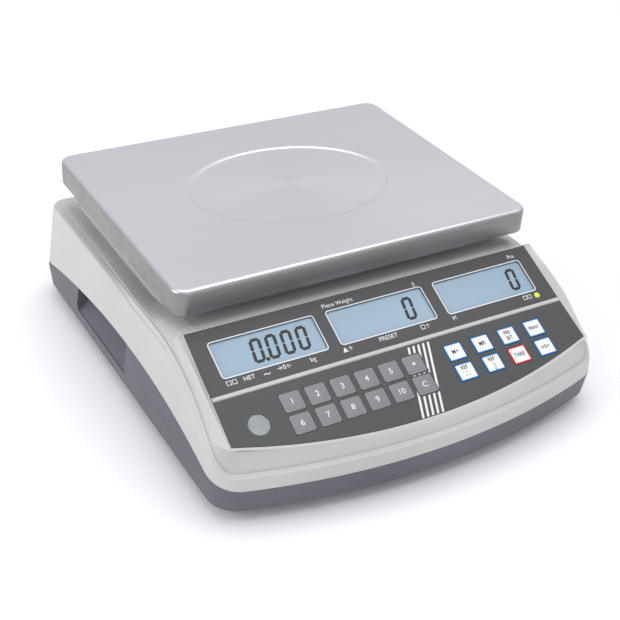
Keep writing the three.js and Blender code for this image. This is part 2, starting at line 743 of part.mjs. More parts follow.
function gripProfile(side, grow) {
  const outer = halfWidth + REACH;
  const back = halfWidth - GRIP_DEPTH - grow;
  const floorEdge = halfWidth - GRIP_EDGE + grow;
  const shape = new THREE.Shape();
  shape.moveTo(side * outer, GRIP_FLOOR_Z - grow);
  shape.lineTo(side * floorEdge, GRIP_FLOOR_Z - grow);
  shape.lineTo(side * back, GRIP_SILL_Z - grow);
  shape.lineTo(side * back, TOTAL_HEIGHT);
  shape.lineTo(side * outer, TOTAL_HEIGHT);
  return shape;
}

function grip(side, grow) {
  const half = GRIP_LENGTH / 2 + grow;
  return sweepBack(gripProfile(side, grow), gripY - half, gripY + half);
}

function footPlaces() {
  const x = halfWidth - FOOT_INSET_X;
  const front = yFront + FOOT_INSET_FRONT;
  const rear = yRear - FOOT_INSET_REAR;
  return [
    { name: 'front_left', x: -x, y: front },
    { name: 'front_right', x, y: front },
    { name: 'rear_left', x: -x, y: rear },
    { name: 'rear_right', x, y: rear },
  ];
}

function boardPosts() {
  const x = MAIN_BOARD_WIDTH / 2 - BOARD_MARGIN - BOARD_POST_DIAMETER / 2;
  const y = MAIN_BOARD_DEPTH / 2 - BOARD_MARGIN - BOARD_POST_DIAMETER / 2;
  const places = [[-x, -y], [x, -y], [-x, y], [x, y]];
  return places.map(([px, py]) => bar(
    BOARD_POST_DIAMETER, floorTop - ROOT, MAIN_BOARD_Z - GAP, px, MAIN_BOARD_Y + py, SMALL_ROUND_STEPS,
  ));
}

// The battery lies in a compartment that opens downwards
function batteryBay() {
  const wide = BATTERY_WIDTH + 2 * BATTERY_PLAY;
  const deep = BATTERY_DEPTH + 2 * BATTERY_PLAY;
  const y = yRear - BATTERY_REAR - BATTERY_DEPTH / 2;
  const top = BASE_Z + DOOR_THICKNESS + 2 * GAP + BATTERY_HEIGHT + BATTERY_PLAY;
  return { wide, deep, y, top };
}

function lowerHousing() {
  const bay = batteryBay();
  const shell = leaningBody(0).intersect(sweepAcross(lowerLimit(-GAP / 2), -halfWidth, halfWidth));
  const hollow = leaningBody(WALL).intersect(blockBetween(
    [-halfWidth, yFront, floorTop],
    [halfWidth, yRear, TOTAL_HEIGHT],
  ));
  const bosses = footPlaces().map((foot) => bar(
    FOOT_BOSS_DIAMETER, BASE_Z, BASE_Z + FOOT_BOSS_HEIGHT, foot.x, foot.y,
  ));
  const threads = footPlaces().map((foot) => bar(
    FOOT_SCREW_DIAMETER + 2 * GAP, -REACH, BASE_Z + FOOT_BOSS_HEIGHT + REACH, foot.x, foot.y,
  ));
  const bayWalls = blockBetween(
    [-bay.wide / 2 - WALL, bay.y - bay.deep / 2 - WALL, BASE_Z],
    [bay.wide / 2 + WALL, bay.y + bay.deep / 2 + WALL, bay.top + WALL],
  );
  const bayHollow = blockBetween(
    [-bay.wide / 2, bay.y - bay.deep / 2, -REACH],
    [bay.wide / 2, bay.y + bay.deep / 2, bay.top],
  );
  const doorSeat = blockBetween(
    [-bay.wide / 2 - DOOR_LAND, bay.y - bay.deep / 2 - DOOR_LAND, -REACH],
    [bay.wide / 2 + DOOR_LAND, bay.y + bay.deep / 2 + DOOR_LAND, BASE_Z + DOOR_THICKNESS + GAP],
  );
  const seatFloor = blockBetween(
    [-bay.wide / 2 - DOOR_LAND - WALL, bay.y - bay.deep / 2 - DOOR_LAND - WALL, BASE_Z],
    [bay.wide / 2 + DOOR_LAND + WALL, bay.y + bay.deep / 2 + DOOR_LAND + WALL, floorTop + DOOR_THICKNESS],
  );
  const stopBoss = bar(STOP_BOSS_DIAMETER, BASE_Z, floorTop + STOP_BOSS_HEIGHT, hubPlace, panY);
  const vial = vialPlace();
  const vialPost = bar(VIAL_FOOT_DIAMETER, BASE_Z, vial.bottom - GAP, vial.x, vial.y, SMALL_ROUND_STEPS);
  const gripShells = [-1, 1].map((side) => grip(side, WALL).intersect(shell));
  return shell
    .subtract(hollow)
    .add(union([...bosses, bayWalls, seatFloor, stopBoss, vialPost, ...gripShells, ...boardPosts()]))
    .subtract(union([grip(-1, 0), grip(1, 0), ...threads, bayHollow, doorSeat]));
}

// ---- Pan and its support ----

function panShell(inset) {
  const fold = PAN_FOLD - inset / 2;
  const outline = roundedRectangle(
    PAN_WIDTH - 2 * inset,
    PAN_DEPTH - 2 * inset,
    PAN_CORNER - inset,
    0,
    panY,
  );
  const geometry = new THREE.ExtrudeGeometry(outline, {
    depth: PAN_HEIGHT,
    bevelThickness: fold,
    bevelSize: fold,
    bevelOffset: -fold,
    bevelSegments: PAN_FOLD_STEPS,
    curveSegments: PAN_CORNER_STEPS,
  });
  const lowered = TOTAL_HEIGHT - inset - fold - PAN_HEIGHT;
  const below = block(2 * PAN_WIDTH, 2 * PAN_DEPTH, 2 * REACH, 0, panY, panRimZ - inset - REACH);
  return solid(geometry.translate(0, 0, lowered)).subtract(below);
}

function weighingPan() {
  return panShell(0).subtract(panShell(PAN_SHEET));
}

const supportX = SUPPORT_SPAN_X / 2;
const supportY = SUPPORT_SPAN_Y / 2;
const padPlaces = [
  { name: 'front_left', x: -supportX, y: panY - supportY },
  { name: 'front_right', x: supportX, y: panY - supportY },
  { name: 'rear_left', x: -supportX, y: panY + supportY },
  { name: 'rear_right', x: supportX, y: panY + supportY },
];
const cellTop = CELL_Z + CELL_HEIGHT;
const supportTop = supportZ + SUPPORT_PLATE;

// An H of cast alloy: two arms from front to rear, joined by a wide middle with the hub below
function panSupport() {
  const arms = [-supportX, supportX].map((x) => plate(
    roundedRectangle(SUPPORT_ARM, SUPPORT_SPAN_Y + SUPPORT_ARM, SUPPORT_CORNER, x, panY),
    supportZ,
    supportTop,
    SUPPORT_CORNER_STEPS,
  ));
  const middleZ = supportZ + SUPPORT_PLATE / 2;
  const middle = block(SUPPORT_SPAN_X, SUPPORT_MIDDLE, SUPPORT_PLATE, 0, panY, middleZ);
  const hub = blockBetween(
    [hubPlace - HUB_SIZE / 2, panY - HUB_SIZE / 2, cellTop + GAP],
    [hubPlace + HUB_SIZE / 2, panY + HUB_SIZE / 2, supportZ + ROOT],
  );
  const counterbore = screwPlaces(hubPlace).map((place) => union([
    bar(SCREW_DIAMETER + 2 * GAP, 0, TOTAL_HEIGHT, place.x, place.y, SMALL_ROUND_STEPS),
    bar(
      SCREW_HEAD_DIAMETER + 2 * GAP, cellTop + HUB_FLOOR, TOTAL_HEIGHT, place.x, place.y, SMALL_ROUND_STEPS,
    ),
  ]));
  return union([...arms, middle, hub]).subtract(union(counterbore));
}

function screwPlaces(x) {
  return [{ x: x - SCREW_HALF_PITCH, y: panY }, { x: x + SCREW_HALF_PITCH, y: panY }];
}

function capScrew(place, headBottom, tip) {
  return union([
    bar(SCREW_HEAD_DIAMETER, headBottom, headBottom + SCREW_HEAD, place.x, place.y, SMALL_ROUND_STEPS),
    bar(SCREW_DIAMETER, tip, headBottom + ROOT, place.x, place.y, SMALL_ROUND_STEPS),
  ]);
}

function loadCell() {
  const z = CELL_Z + CELL_HEIGHT / 2;
  const beam = block(CELL_LENGTH, CELL_WIDTH, CELL_HEIGHT, 0, panY, z);
  const eyes = [-1, 1].map((side) => crossBar(
    CELL_EYE, 2 * CELL_WIDTH, side * CELL_EYE, panY, z, SMALL_ROUND_STEPS,
  ));
  const slot = block(2 * CELL_EYE, 2 * CELL_WIDTH, CELL_SLOT, 0, panY, z);
  const holes = [...screwPlaces(hubPlace), ...screwPlaces(-hubPlace)].map((place) => bar(
    SCREW_DIAMETER + 2 * GAP, 0, TOTAL_HEIGHT, place.x, place.y, SMALL_ROUND_STEPS,
  ));
  return beam.subtract(union([...eyes, slot, ...holes]));
}

function loadCellBase() {
  const pillar = blockBetween(
    [-hubPlace - CELL_BASE_WIDTH / 2, panY - CELL_BASE_WIDTH / 2, floorTop + GAP],
    [-hubPlace + CELL_END / 2, panY + CELL_BASE_WIDTH / 2, CELL_Z - GAP],
  );
  const holes = screwPlaces(-hubPlace).map((place) => bar(
    SCREW_DIAMETER + 2 * GAP,
    CELL_Z - CELL_SCREW_BITE - THREAD_SPARE,
    TOTAL_HEIGHT,
    place.x,
    place.y,
    SMALL_ROUND_STEPS,
  ));
  return pillar.subtract(union(holes));
}

function overloadStop() {
  const top = CELL_Z - STOP_GAP;
  const bottom = floorTop + STOP_BOSS_HEIGHT + GAP;
  return union([
    bar(STOP_DIAMETER, bottom, top, hubPlace, panY, SMALL_ROUND_STEPS),
    bar(STOP_NUT_DIAMETER, bottom, bottom + STOP_NUT_HEIGHT, hubPlace, panY, NUT_SIDES),
  ]);
}

function addWeighingParts() {
  addPiece('weighing_pan', weighingPan(), 'stainless');
  addPiece('pan_support', panSupport(), 'castAlloy');
  addPiece('load_cell', loadCell(), 'aluminium');
  addPiece('load_cell_base', loadCellBase(), 'aluminium');
  addPiece('overload_stop', overloadStop(), 'steel');
  const hubNames = ['support_screw_left', 'support_screw_right'];
  screwPlaces(hubPlace).forEach((place, side) => {
    const screw = capScrew(place, cellTop + HUB_FLOOR + GAP, cellTop - SUPPORT_SCREW_BITE);
    addPiece(hubNames[side], screw, 'steel');
  });
  const baseNames = ['cell_screw_left', 'cell_screw_right'];
  screwPlaces(-hubPlace).forEach((place, side) => {
    addPiece(baseNames[side], capScrew(place, cellTop + GAP, CELL_Z - CELL_SCREW_BITE), 'steel');
  });
  for (const pad of padPlaces) {
    const top = TOTAL_HEIGHT - PAN_SHEET - GAP;
    addPiece(`pan_pad_${pad.name}`, bar(PAD_DIAMETER, supportTop + GAP, top, pad.x, pad.y), 'rubber');
  }
}

// ---- Console pieces, in the console's own frame ----

function displayOverlay() {
  const film = plate(displayOverlayShape(0), -FILM, 0);
  const lampHole = bar(LAMP_DIAMETER + 2 * GAP, -REACH, REACH, LAMP_X, -LAMP_DOWN, SMALL_ROUND_STEPS);
  return film.subtract(filmWindows()).subtract(lampHole);
}

function keypadOverlay() {
  const film = plate(keypadOverlayShape(0), -FILM, 0, EDGE_STEPS);
  const holes = [...numberKeys, ...functionKeys].map((place) => plate(
    roundedRectangle(
      place.width + 2 * SLIDE_GAP, place.height + 2 * SLIDE_GAP, KEY_CORNER, place.x, place.y,
    ),
    -REACH,
    REACH,
    KEY_CORNER_STEPS,
  ));
  const levelHole = bar(LEVEL_DIAMETER + 2 * GAP, -REACH, REACH, LEVEL_X, -LEVEL_DOWN);
  return film.subtract(union([...holes, levelHole]));
}

function keyCap(place) {
  const shape = roundedRectangle(place.width, place.height, KEY_CORNER, place.x, place.y);
  return plate(shape, keyBottom, KEY_RISE, KEY_CORNER_STEPS);
}

function keypadBoard(grow) {
  const low = keyBlockExtent(numberKeys, KEYPAD_BOARD_MARGIN + grow).low;
  const high = keyBlockExtent(functionKeys, KEYPAD_BOARD_MARGIN + grow).high;
  return blockBetween([...low, keyBoardTop - BOARD - grow], [...high, keyBoardTop + grow]);
}

function displayBoard() {
  const glassBottom = -LCD_DEPTH - LCD_THICKNESS;
  const half = overlayHalf - WALL - BOARD_MARGIN;
  const low = -windowMiddle - DISPLAY_BOARD_HEIGHT / 2;
  const high = -windowMiddle + DISPLAY_BOARD_HEIGHT / 2;
  return blockBetween([-half, low, glassBottom - GAP - BOARD], [half, high, glassBottom - GAP]);
}

function addConsolePieces() {
  addPiece('display_overlay', displayOverlay(), 'overlay', consoleGroup);
  addPiece('keypad_overlay', keypadOverlay(), 'overlay', consoleGroup);
  const displayNames = ['lcd_weight', 'lcd_piece_weight', 'lcd_piece_count'];
  displayNames.forEach((name, index) => {
    const glass = glassBlock(windowPlaces[index], 0, -LCD_DEPTH - LCD_THICKNESS, -LCD_DEPTH);
    addPiece(name, glass, 'display', consoleGroup);
  });
  for (const place of numberKeys) addPiece(place.name, keyCap(place), 'numberKey', consoleGroup);
  for (const place of functionKeys) addPiece(place.name, keyCap(place), 'functionKey', consoleGroup);
  addPiece('keypad_board', keypadBoard(0), 'board', consoleGroup);
  addPiece('display_board', displayBoard(), 'board', consoleGroup);
  const windowTop = -LEVEL_WINDOW_DROP;
  const window = bar(LEVEL_DIAMETER, windowTop - LEVEL_WINDOW_THICKNESS, windowTop, LEVEL_X, -LEVEL_DOWN);
  addPiece('level_window', window, 'clear', consoleGroup);
  const lampBottom = LAMP_RISE - LAMP_LENGTH;
  const lamp = bar(LAMP_DIAMETER, lampBottom, LAMP_RISE, LAMP_X, -LAMP_DOWN, SMALL_ROUND_STEPS);
  addPiece('status_lamp', lamp, 'lamp', consoleGroup);
}

// The round level stands upright under its window, on a post moulded on the lower shell
function vialPlace() {
  const place = new THREE.Vector3(LEVEL_X, -LEVEL_DOWN, 0).applyMatrix4(consoleFrame.matrixWorld);
  const top = place.z - VIAL_DROP;
  return { x: place.x, y: place.y, top, bottom: top - VIAL_HEIGHT };
}

function addLevel() {
  const place = vialPlace();
  addPiece('level_vial', bar(VIAL_DIAMETER, place.bottom, place.top, place.x, place.y), 'levelFluid');
}

// ---- Base pieces ----

function footWheel(place) {
  const bottom = FOOT_PAD_HEIGHT + GAP;
  const wheel = new THREE.Shape();
  const steps = 2 * FOOT_KNURLS;
  for (let step = 0; step < steps; step += 1) {
    const angle = 2 * Math.PI * step / steps;
    const radius = FOOT_WHEEL_DIAMETER / 2 - (step % 2) * FOOT_KNURL_DEPTH;
    const point = [place.x + radius * Math.cos(angle), place.y + radius * Math.sin(angle)];
    if (step === 0) wheel.moveTo(...point);
    else wheel.lineTo(...point);
  }
  return union([
    plate(wheel, bottom, bottom + FOOT_WHEEL_HEIGHT),
    bar(
      FOOT_SCREW_DIAMETER,
      bottom + ROOT,
      bottom + FOOT_WHEEL_HEIGHT + FOOT_SCREW_LENGTH,
      place.x,
      place.y,
    ),
  ]);
}

function batteryDoor() {
  const bay = batteryBay();
  const edge = DOOR_LAND - 2 * GAP;
  return blockBetween(
    [-bay.wide / 2 - edge, bay.y - bay.deep / 2 - edge, BASE_Z],
    [bay.wide / 2 + edge, bay.y + bay.deep / 2 + edge, BASE_Z + DOOR_THICKNESS],
  );
}

function battery() {
  const bay = batteryBay();
  const z = BASE_Z + DOOR_THICKNESS + 2 * GAP + BATTERY_HEIGHT / 2;
  return block(BATTERY_WIDTH, BATTERY_DEPTH, BATTERY_HEIGHT, 0, bay.y, z);
}

function addBaseParts() {
  addPiece('lower_housing', lowerHousing(), 'darkShell');
  addPiece('battery_door', batteryDoor(), 'darkShell');
  addPiece('battery', battery(), 'battery');
  addPiece('main_board', block(
    MAIN_BOARD_WIDTH, MAIN_BOARD_DEPTH, BOARD, 0, MAIN_BOARD_Y, MAIN_BOARD_Z + BOARD / 2,
  ), 'board');
  for (const place of footPlaces()) {
    addPiece(`foot_wheel_${place.name}`, footWheel(place), 'blackPlastic');
    const pad = bar(FOOT_PAD_DIAMETER, 0, FOOT_PAD_HEIGHT, place.x, place.y);
    addPiece(`foot_pad_${place.name}`, pad, 'rubber');
  }
}

// ---- Rear sockets, each in a frame that looks out of the leaning rear wall ----

function socketBody(socket) {
  const flange = plate(roundedRectangle(
    socket.width + 2 * SOCKET_LIP, socket.height + 2 * SOCKET_LIP, SOCKET_CORNER,
  ), GAP, GAP + socket.flange, SOCKET_CORNER_STEPS);
  const body = block(
    socket.width - 2 * GAP, socket.height - 2 * GAP, socket.depth, 0, 0, GAP + ROOT - socket.depth / 2,
  );
  return flange.add(body);
}

function placeSocket(name, socket, body, colour) {
  const frame = rearFrame(socket);
  const mesh = addPiece(name, body, colour);
  mesh.position.copy(frame.position);
  mesh.rotation.copy(frame.rotation);
}

function addSockets() {
  const cavity = block(
    INLET.width - 2 * INLET_RIM, INLET.height - 2 * INLET_RIM, 2 * INLET_CAVITY, 0, 0, GAP + INLET.flange,
  );
  placeSocket('power_inlet', INLET, socketBody(INLET).subtract(cavity), 'blackPlastic');

  const nose = plate(serialNose(), 0, GAP + SERIAL.flange + SERIAL_NOSE.length);
  placeSocket('serial_socket', SERIAL, socketBody(SERIAL).add(nose), 'steel');

  const well = block(
    ROCKER_WIDTH + 2 * SLIDE_GAP,
    ROCKER_HEIGHT + 2 * SLIDE_GAP,
    2 * (ROCKER_DEPTH + ROCKER_SPARE),
    0,
    0,
    GAP,
  );
  placeSocket('switch_bezel', SWITCH, socketBody(SWITCH).subtract(well), 'blackPlastic');
  placeSocket('switch_rocker', SWITCH, switchRocker(), 'blackPlastic');
}

// The D-shaped nose of the data socket
function serialNose() {
  const { half, high, slant } = SERIAL_NOSE;
  const shape = new THREE.Shape();
  shape.moveTo(-half, high);
  shape.lineTo(-half + slant, -high);
  shape.lineTo(half - slant, -high);
  shape.lineTo(half, high);
  return shape;
}

// A rocker whose face is two flats, turned to its off position
function switchRocker() {
  const half = ROCKER_HEIGHT / 2 - ROCKER_END;
  const crown = GAP + SWITCH.flange + ROCKER_CROWN;
  const bottom = ROCKER_SPARE - ROCKER_DEPTH;
  const shape = new THREE.Shape();
  shape.moveTo(-half, crown + half * Math.tan(ROCKER_TILT));
  shape.lineTo(-half + ROCKER_TAPER, bottom);
  shape.lineTo(half - ROCKER_TAPER, bottom);
  shape.lineTo(half, crown + half * Math.tan(ROCKER_TILT));
  shape.lineTo(0, crown);
  const settings = { depth: ROCKER_WIDTH, bevelEnabled: false };
  const geometry = new THREE.ExtrudeGeometry(shape, settings).translate(0, 0, -ROCKER_WIDTH / 2);
  const turn = new THREE.Matrix4().makeBasis(
    new THREE.Vector3(0, 1, 0),
    new THREE.Vector3(0, 0, 1),
    new THREE.Vector3(1, 0, 0),
  );
  return solid(geometry.applyMatrix4(turn).rotateX(ROCKER_TILT));
}

addPiece('upper_housing', upperHousing(), 'lightShell');
addBaseParts();
addWeighingParts();
addConsolePieces();
addLevel();
addSockets();

export default scale;
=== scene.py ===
import json
from math import atan2, cos, pi, radians, sin, sqrt, tan

import bmesh
import bpy
from mathutils import Matrix, Vector


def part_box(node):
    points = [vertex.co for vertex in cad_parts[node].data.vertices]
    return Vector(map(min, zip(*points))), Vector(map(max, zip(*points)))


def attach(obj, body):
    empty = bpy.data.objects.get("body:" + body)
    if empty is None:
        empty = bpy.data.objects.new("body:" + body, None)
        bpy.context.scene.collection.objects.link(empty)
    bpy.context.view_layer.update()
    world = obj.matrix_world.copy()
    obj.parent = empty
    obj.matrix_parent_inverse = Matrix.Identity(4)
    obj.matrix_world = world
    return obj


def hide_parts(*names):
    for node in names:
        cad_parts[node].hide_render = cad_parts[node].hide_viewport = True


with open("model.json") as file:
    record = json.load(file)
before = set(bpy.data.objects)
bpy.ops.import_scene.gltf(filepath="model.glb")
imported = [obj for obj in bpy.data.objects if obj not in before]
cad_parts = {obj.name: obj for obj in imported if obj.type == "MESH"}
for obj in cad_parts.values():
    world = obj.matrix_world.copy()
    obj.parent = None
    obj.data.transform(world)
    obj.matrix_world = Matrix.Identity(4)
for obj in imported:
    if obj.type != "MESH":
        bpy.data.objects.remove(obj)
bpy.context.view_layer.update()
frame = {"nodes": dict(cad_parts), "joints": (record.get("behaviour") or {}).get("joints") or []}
nodes = frame["nodes"]
joints = {joint["name"]: joint for joint in frame["joints"]}


# ---- Camera ----
# A view from the front left, a little above the pan, with the scale filling most of the frame.
LENS_MM = 67.06
SENSOR_MM = 36
CAMERA_PLACE = Vector((-0.4081, -0.6454, 0.5285))
CAMERA_RIGHT = Vector((0.8648, -0.4989, 0.0567))
CAMERA_UP = Vector((0.2307, 0.4950, 0.8377))
camera_data = bpy.data.cameras.new("camera")
camera_data.lens = LENS_MM
camera_data.sensor_width = SENSOR_MM
camera_data.clip_start = 0.01
camera = bpy.data.objects.new("camera", camera_data)
bpy.context.scene.collection.objects.link(camera)
right = CAMERA_RIGHT.normalized()
up = (CAMERA_UP - right * CAMERA_UP.dot(right)).normalized()
turn = Matrix((right, up, right.cross(up))).transposed()
camera.matrix_world = Matrix.Translation(CAMERA_PLACE) @ turn.to_4x4()
bpy.context.scene.camera = camera


# ---- Lower housing ----
# The dark grey tray that everything is screwed into: injection-moulded ABS with a fine spark-eroded
# grain, a hand grip in each side, and openings underneath for the battery and the feet.
MM = 0.001
CLOUDS_PER_METRE = 9.0


def linear(code):
    """Turns an sRGB hex colour into the linear numbers that a shader takes."""
    shares = [int(code[at : at + 2], 16) / 255 for at in (0, 2, 4)]
    return [v / 12.92 if v <= 0.04045 else ((v + 0.055) / 1.055) ** 2.4 for v in shares] + [1]


def add_node(tree, kind, inputs=None, **settings):
    """Adds a node with its settings; an input is a number, a colour or another node's socket."""
    node = tree.nodes.new(kind)
    for setting, value in settings.items():
        setattr(node, setting, value)
    for name, value in (inputs or {}).items():
        if isinstance(value, bpy.types.NodeSocket):
            tree.links.new(value, node.inputs[name])
        else:
            node.inputs[name].default_value = value
    return node


def new_material(name, **shader_inputs):
    """A material whose Principled shader has the given settings, with its tree and shader."""
    material = bpy.data.materials.new(name)
    material.use_nodes = True
    shader = material.node_tree.nodes["Principled BSDF"]
    for socket, value in shader_inputs.items():
        shader.inputs[socket.replace("_", " ").title().replace("Ior", "IOR")].default_value = value
    return material, material.node_tree, shader


def moulded_plastic(name, colour, shaded, roughness, grain_mm, depth_mm, worn=None, edge_mm=0.8):
    """Moulded plastic: slow clouding between two shades, an eroded grain, and edges rubbed smooth."""
    material, tree, shader = new_material(name)
    place = add_node(tree, "ShaderNodeTexCoord").outputs["Object"]
    clouds = add_node(
        tree, "ShaderNodeTexNoise", {"Vector": place, "Scale": CLOUDS_PER_METRE, "Detail": 3.0},
    )
    cloud_share = add_node(
        tree, "ShaderNodeMapRange",
        {"Value": clouds.outputs["Fac"], "From Min": 0.3, "From Max": 0.7},
    )
    tint = add_node(
        tree, "ShaderNodeMix",
        {"Factor": cloud_share.outputs["Result"], "A": linear(shaded), "B": linear(colour)},
        data_type="RGBA",
    )
    grain = add_node(
        tree, "ShaderNodeTexNoise",
        {"Vector": place, "Scale": 1 / (grain_mm * MM), "Detail": 2.0, "Roughness": 0.6},
    )
    corner = add_node(tree, "ShaderNodeBevel", {"Radius": edge_mm * MM}, samples=4)
    face = add_node(tree, "ShaderNodeNewGeometry")
    turned = add_node(
        tree, "ShaderNodeVectorMath",
        {0: corner.outputs["Normal"], 1: face.outputs["Normal"]},
        operation="DOT_PRODUCT",
    )
    rubbed = add_node(
        tree, "ShaderNodeMapRange",
        {"Value": turned.outputs["Value"], "From Min": 0.985, "From Max": 0.9, "To Max": 0.7},
    )
    edge_tint = add_node(
        tree, "ShaderNodeMix",
        {"Factor": rubbed.outputs["Result"], "A": tint.outputs["Result"], "B": linear(worn or colour)},
        data_type="RGBA",
    )
    gloss = add_node(
        tree, "ShaderNodeMapRange",
        {"Value": grain.outputs["Fac"], "To Min": roughness - 0.06, "To Max": roughness + 0.06},
    )
    bump = add_node(
        tree, "ShaderNodeBump",
        {"Height": grain.outputs["Fac"], "Distance": depth_mm * MM, "Strength": 0.6},
    )
    tree.links.new(edge_tint.outputs["Result"], shader.inputs["Base Color"])
    tree.links.new(gloss.outputs["Result"], shader.inputs["Roughness"])
    tree.links.new(bump.outputs["Normal"], shader.inputs["Normal"])
    return material


def dress(node, material):
    """Gives a CAD node its finish."""
    surface = nodes[node].data
    surface.materials.clear()
    surface.materials.append(material)


# Dark grey ABS, spark-eroded: a dull, faintly blue grey whose edges are rubbed paler. The grain is
# drawn at 1.2 mm, coarser than the real 0.3 mm, so that it shows.
dark_abs = moulded_plastic("dark_abs_eroded", "62636B", "57585F", 0.5, 1.2, 0.03, worn="8A8B92")
dress("lower_housing", dark_abs)


# ---- Feet ----
# Four levelling feet: a knurled wheel moulded on to a zinc-plated screw, standing on a rubber sole.
# Four smaller rubber pads carry the pan. The wheels are glass-filled nylon, the rest soft rubber.

# Black nylon, moulded: a half-matt charcoal with a faint grain and paler corners.
black_nylon = moulded_plastic(
    "black_nylon_moulded", "2A2A2C", "202022", 0.45, 1.0, 0.02, worn="4A4A4C",
)
# Black rubber, moulded: a deep, dull black. Its skin is drawn coarser than the real one, to show.
black_rubber = moulded_plastic(
    "black_rubber_moulded", "1B1B1B", "151515", 0.8, 0.9, 0.05, worn="303030",
)
for place in ("front_left", "front_right", "rear_left", "rear_right"):
    dress(f"foot_wheel_{place}", black_nylon)
    dress(f"foot_pad_{place}", black_rubber)
    dress(f"pan_pad_{place}", black_rubber)


# ---- Load cell and pan support ----
# A bending beam of anodised aluminium on a cast base block, an overload stop under its free end, and
# a die-cast spider on top that carries the pan. Socket screws of zinc-plated steel hold them.
STAINS_PER_METRE = 14.0


def worked_metal(name, colour, shaded, roughness, grain_mm, depth_mm, stretch=(1, 1, 1)):
    """Bare metal: a grain that may be drawn out along one way, and soft stains between two shades."""
    material, tree, shader = new_material(name, metallic=1.0)
    place = add_node(tree, "ShaderNodeTexCoord").outputs["Object"]
    drawn = add_node(tree, "ShaderNodeMapping", {"Vector": place, "Scale": stretch})
    grain = add_node(
        tree, "ShaderNodeTexNoise",
        {"Vector": drawn.outputs["Vector"], "Scale": 1 / (grain_mm * MM), "Detail": 3.0},
    )
    stains = add_node(
        tree, "ShaderNodeTexNoise", {"Vector": place, "Scale": STAINS_PER_METRE, "Detail": 2.0},
    )
    tint = add_node(
        tree, "ShaderNodeMix",
        {"Factor": stains.outputs["Fac"], "A": linear(shaded), "B": linear(colour)},
        data_type="RGBA",
    )
    gloss = add_node(
        tree, "ShaderNodeMapRange",
        {"Value": grain.outputs["Fac"], "From Min": 0.3, "From Max": 0.7,
         "To Min": roughness - 0.05, "To Max": roughness + 0.05},
    )
    bump = add_node(
        tree, "ShaderNodeBump",
        {"Height": grain.outputs["Fac"], "Distance": depth_mm * MM, "Strength": 0.4},
    )
    tree.links.new(tint.outputs["Result"], shader.inputs["Base Color"])
    tree.links.new(gloss.outputs["Result"], shader.inputs["Roughness"])
    tree.links.new(bump.outputs["Normal"], shader.inputs["Normal"])
    return material


# Milled aluminium, anodised: a soft, pale sheen with a grain drawn out across the scale's width.
anodised_aluminium = worked_metal(
    "anodised_aluminium_milled", "B9BCC1", "A3A6AC", 0.38, 0.8, 0.01, stretch=(0.1, 1, 1),
)
# Die-cast alloy, as cast: a darker, duller grey with a pitted skin.
cast_alloy = worked_metal("die_cast_alloy", "8B8D90", "76787C", 0.5, 1.5, 0.06)
# Zinc-plated steel: a brighter grey, mottled as passivated zinc is.
zinc_steel = worked_metal("zinc_plated_steel", "B4B6B9", "8F9296", 0.3, 0.8, 0.02)
dress("load_cell", anodised_aluminium)
for part in ("load_cell_base", "pan_support"):
    dress(part, cast_alloy)
for part in ("cell_screw_left", "cell_screw_right", "support_screw_left", "support_screw_right"):
    dress(part, zinc_steel)
dress("overload_stop", zinc_steel)


# ---- Boards and battery ----
# The electronics: glass-fibre boards under green solder mask on the housing's posts, and a sealed
# lead battery in a black case behind its cover underneath.
# Solder mask on glass fibre: a half-gloss green, faintly clouded, with paler, yellowish edges.
green_board = moulded_plastic(
    "solder_mask_on_glass_fibre", "1E5A36", "174A2C", 0.35, 1.6, 0.02, worn="7A8A5A",
)
# Battery case of ABS: a plain, half-matt near-black.
battery_abs = moulded_plastic(
    "battery_case_abs", "3A3D42", "303338", 0.5, 1.2, 0.03, worn="55585C",
)
for part in ("main_board", "display_board", "keypad_board"):
    dress(part, green_board)
dress("battery", battery_abs)
dress("battery_door", dark_abs)


# ---- Sockets at the rear ----
# A mains inlet, a rocker in its bezel and a data socket, snapped into the upper housing. The plastic
# parts are black nylon, the data socket's shell and the inlet's three pins are zinc-plated steel.
PIN_WIDTH = 2.2 * MM
PIN_HEIGHT = 4.2 * MM
PIN_LENGTH = 11 * MM
PIN_PITCH = 7 * MM
PIN_DROP = 3 * MM
PIN_SETBACK = 5 * MM
PIN_EDGE = 0.5 * MM
SHARP_ANGLE = radians(35)
for part in ("power_inlet", "switch_bezel", "switch_rocker"):
    dress(part, black_nylon)
dress("serial_socket", zinc_steel)


def finished(name, shape, material, body, replaced=(), smooth=True):
    """Makes a piece of a bmesh, with its finish, the body it rides on and the nodes it stands for."""
    surface = bpy.data.meshes.new(name)
    shape.to_mesh(surface)
    shape.free()
    for finish in material if isinstance(material, list) else [material]:
        surface.materials.append(finish)
    piece = bpy.data.objects.new(name, surface)
    bpy.context.scene.collection.objects.link(piece)
    if smooth:
        surface.shade_smooth()
        surface.set_sharp_from_angle(angle=SHARP_ANGLE)
    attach(piece, body)
    if replaced:
        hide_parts(*replaced)
    return piece


inlet_low, inlet_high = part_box("power_inlet")
inlet_middle = (inlet_low + inlet_high) / 2
for name, across, rise in (("left", -1, -0.5), ("middle", 0, 0.5), ("right", 1, -0.5)):
    pin = bmesh.new()
    bmesh.ops.create_cube(pin, size=1)
    bmesh.ops.scale(pin, verts=pin.verts[:], vec=(PIN_WIDTH, PIN_LENGTH, PIN_HEIGHT))
    bmesh.ops.bevel(
        pin, geom=pin.edges[:], affect="EDGES", offset=PIN_EDGE, segments=2, profile=0.5, material=-1,
    )
    pin_y = inlet_high.y - PIN_LENGTH / 2 - PIN_SETBACK
    pin_place = (inlet_middle.x + across * PIN_PITCH, pin_y, inlet_middle.z + rise * PIN_DROP)
    bmesh.ops.translate(pin, verts=pin.verts[:], vec=pin_place)
    finished(f"inlet_pin_{name}", pin, zinc_steel, "base")


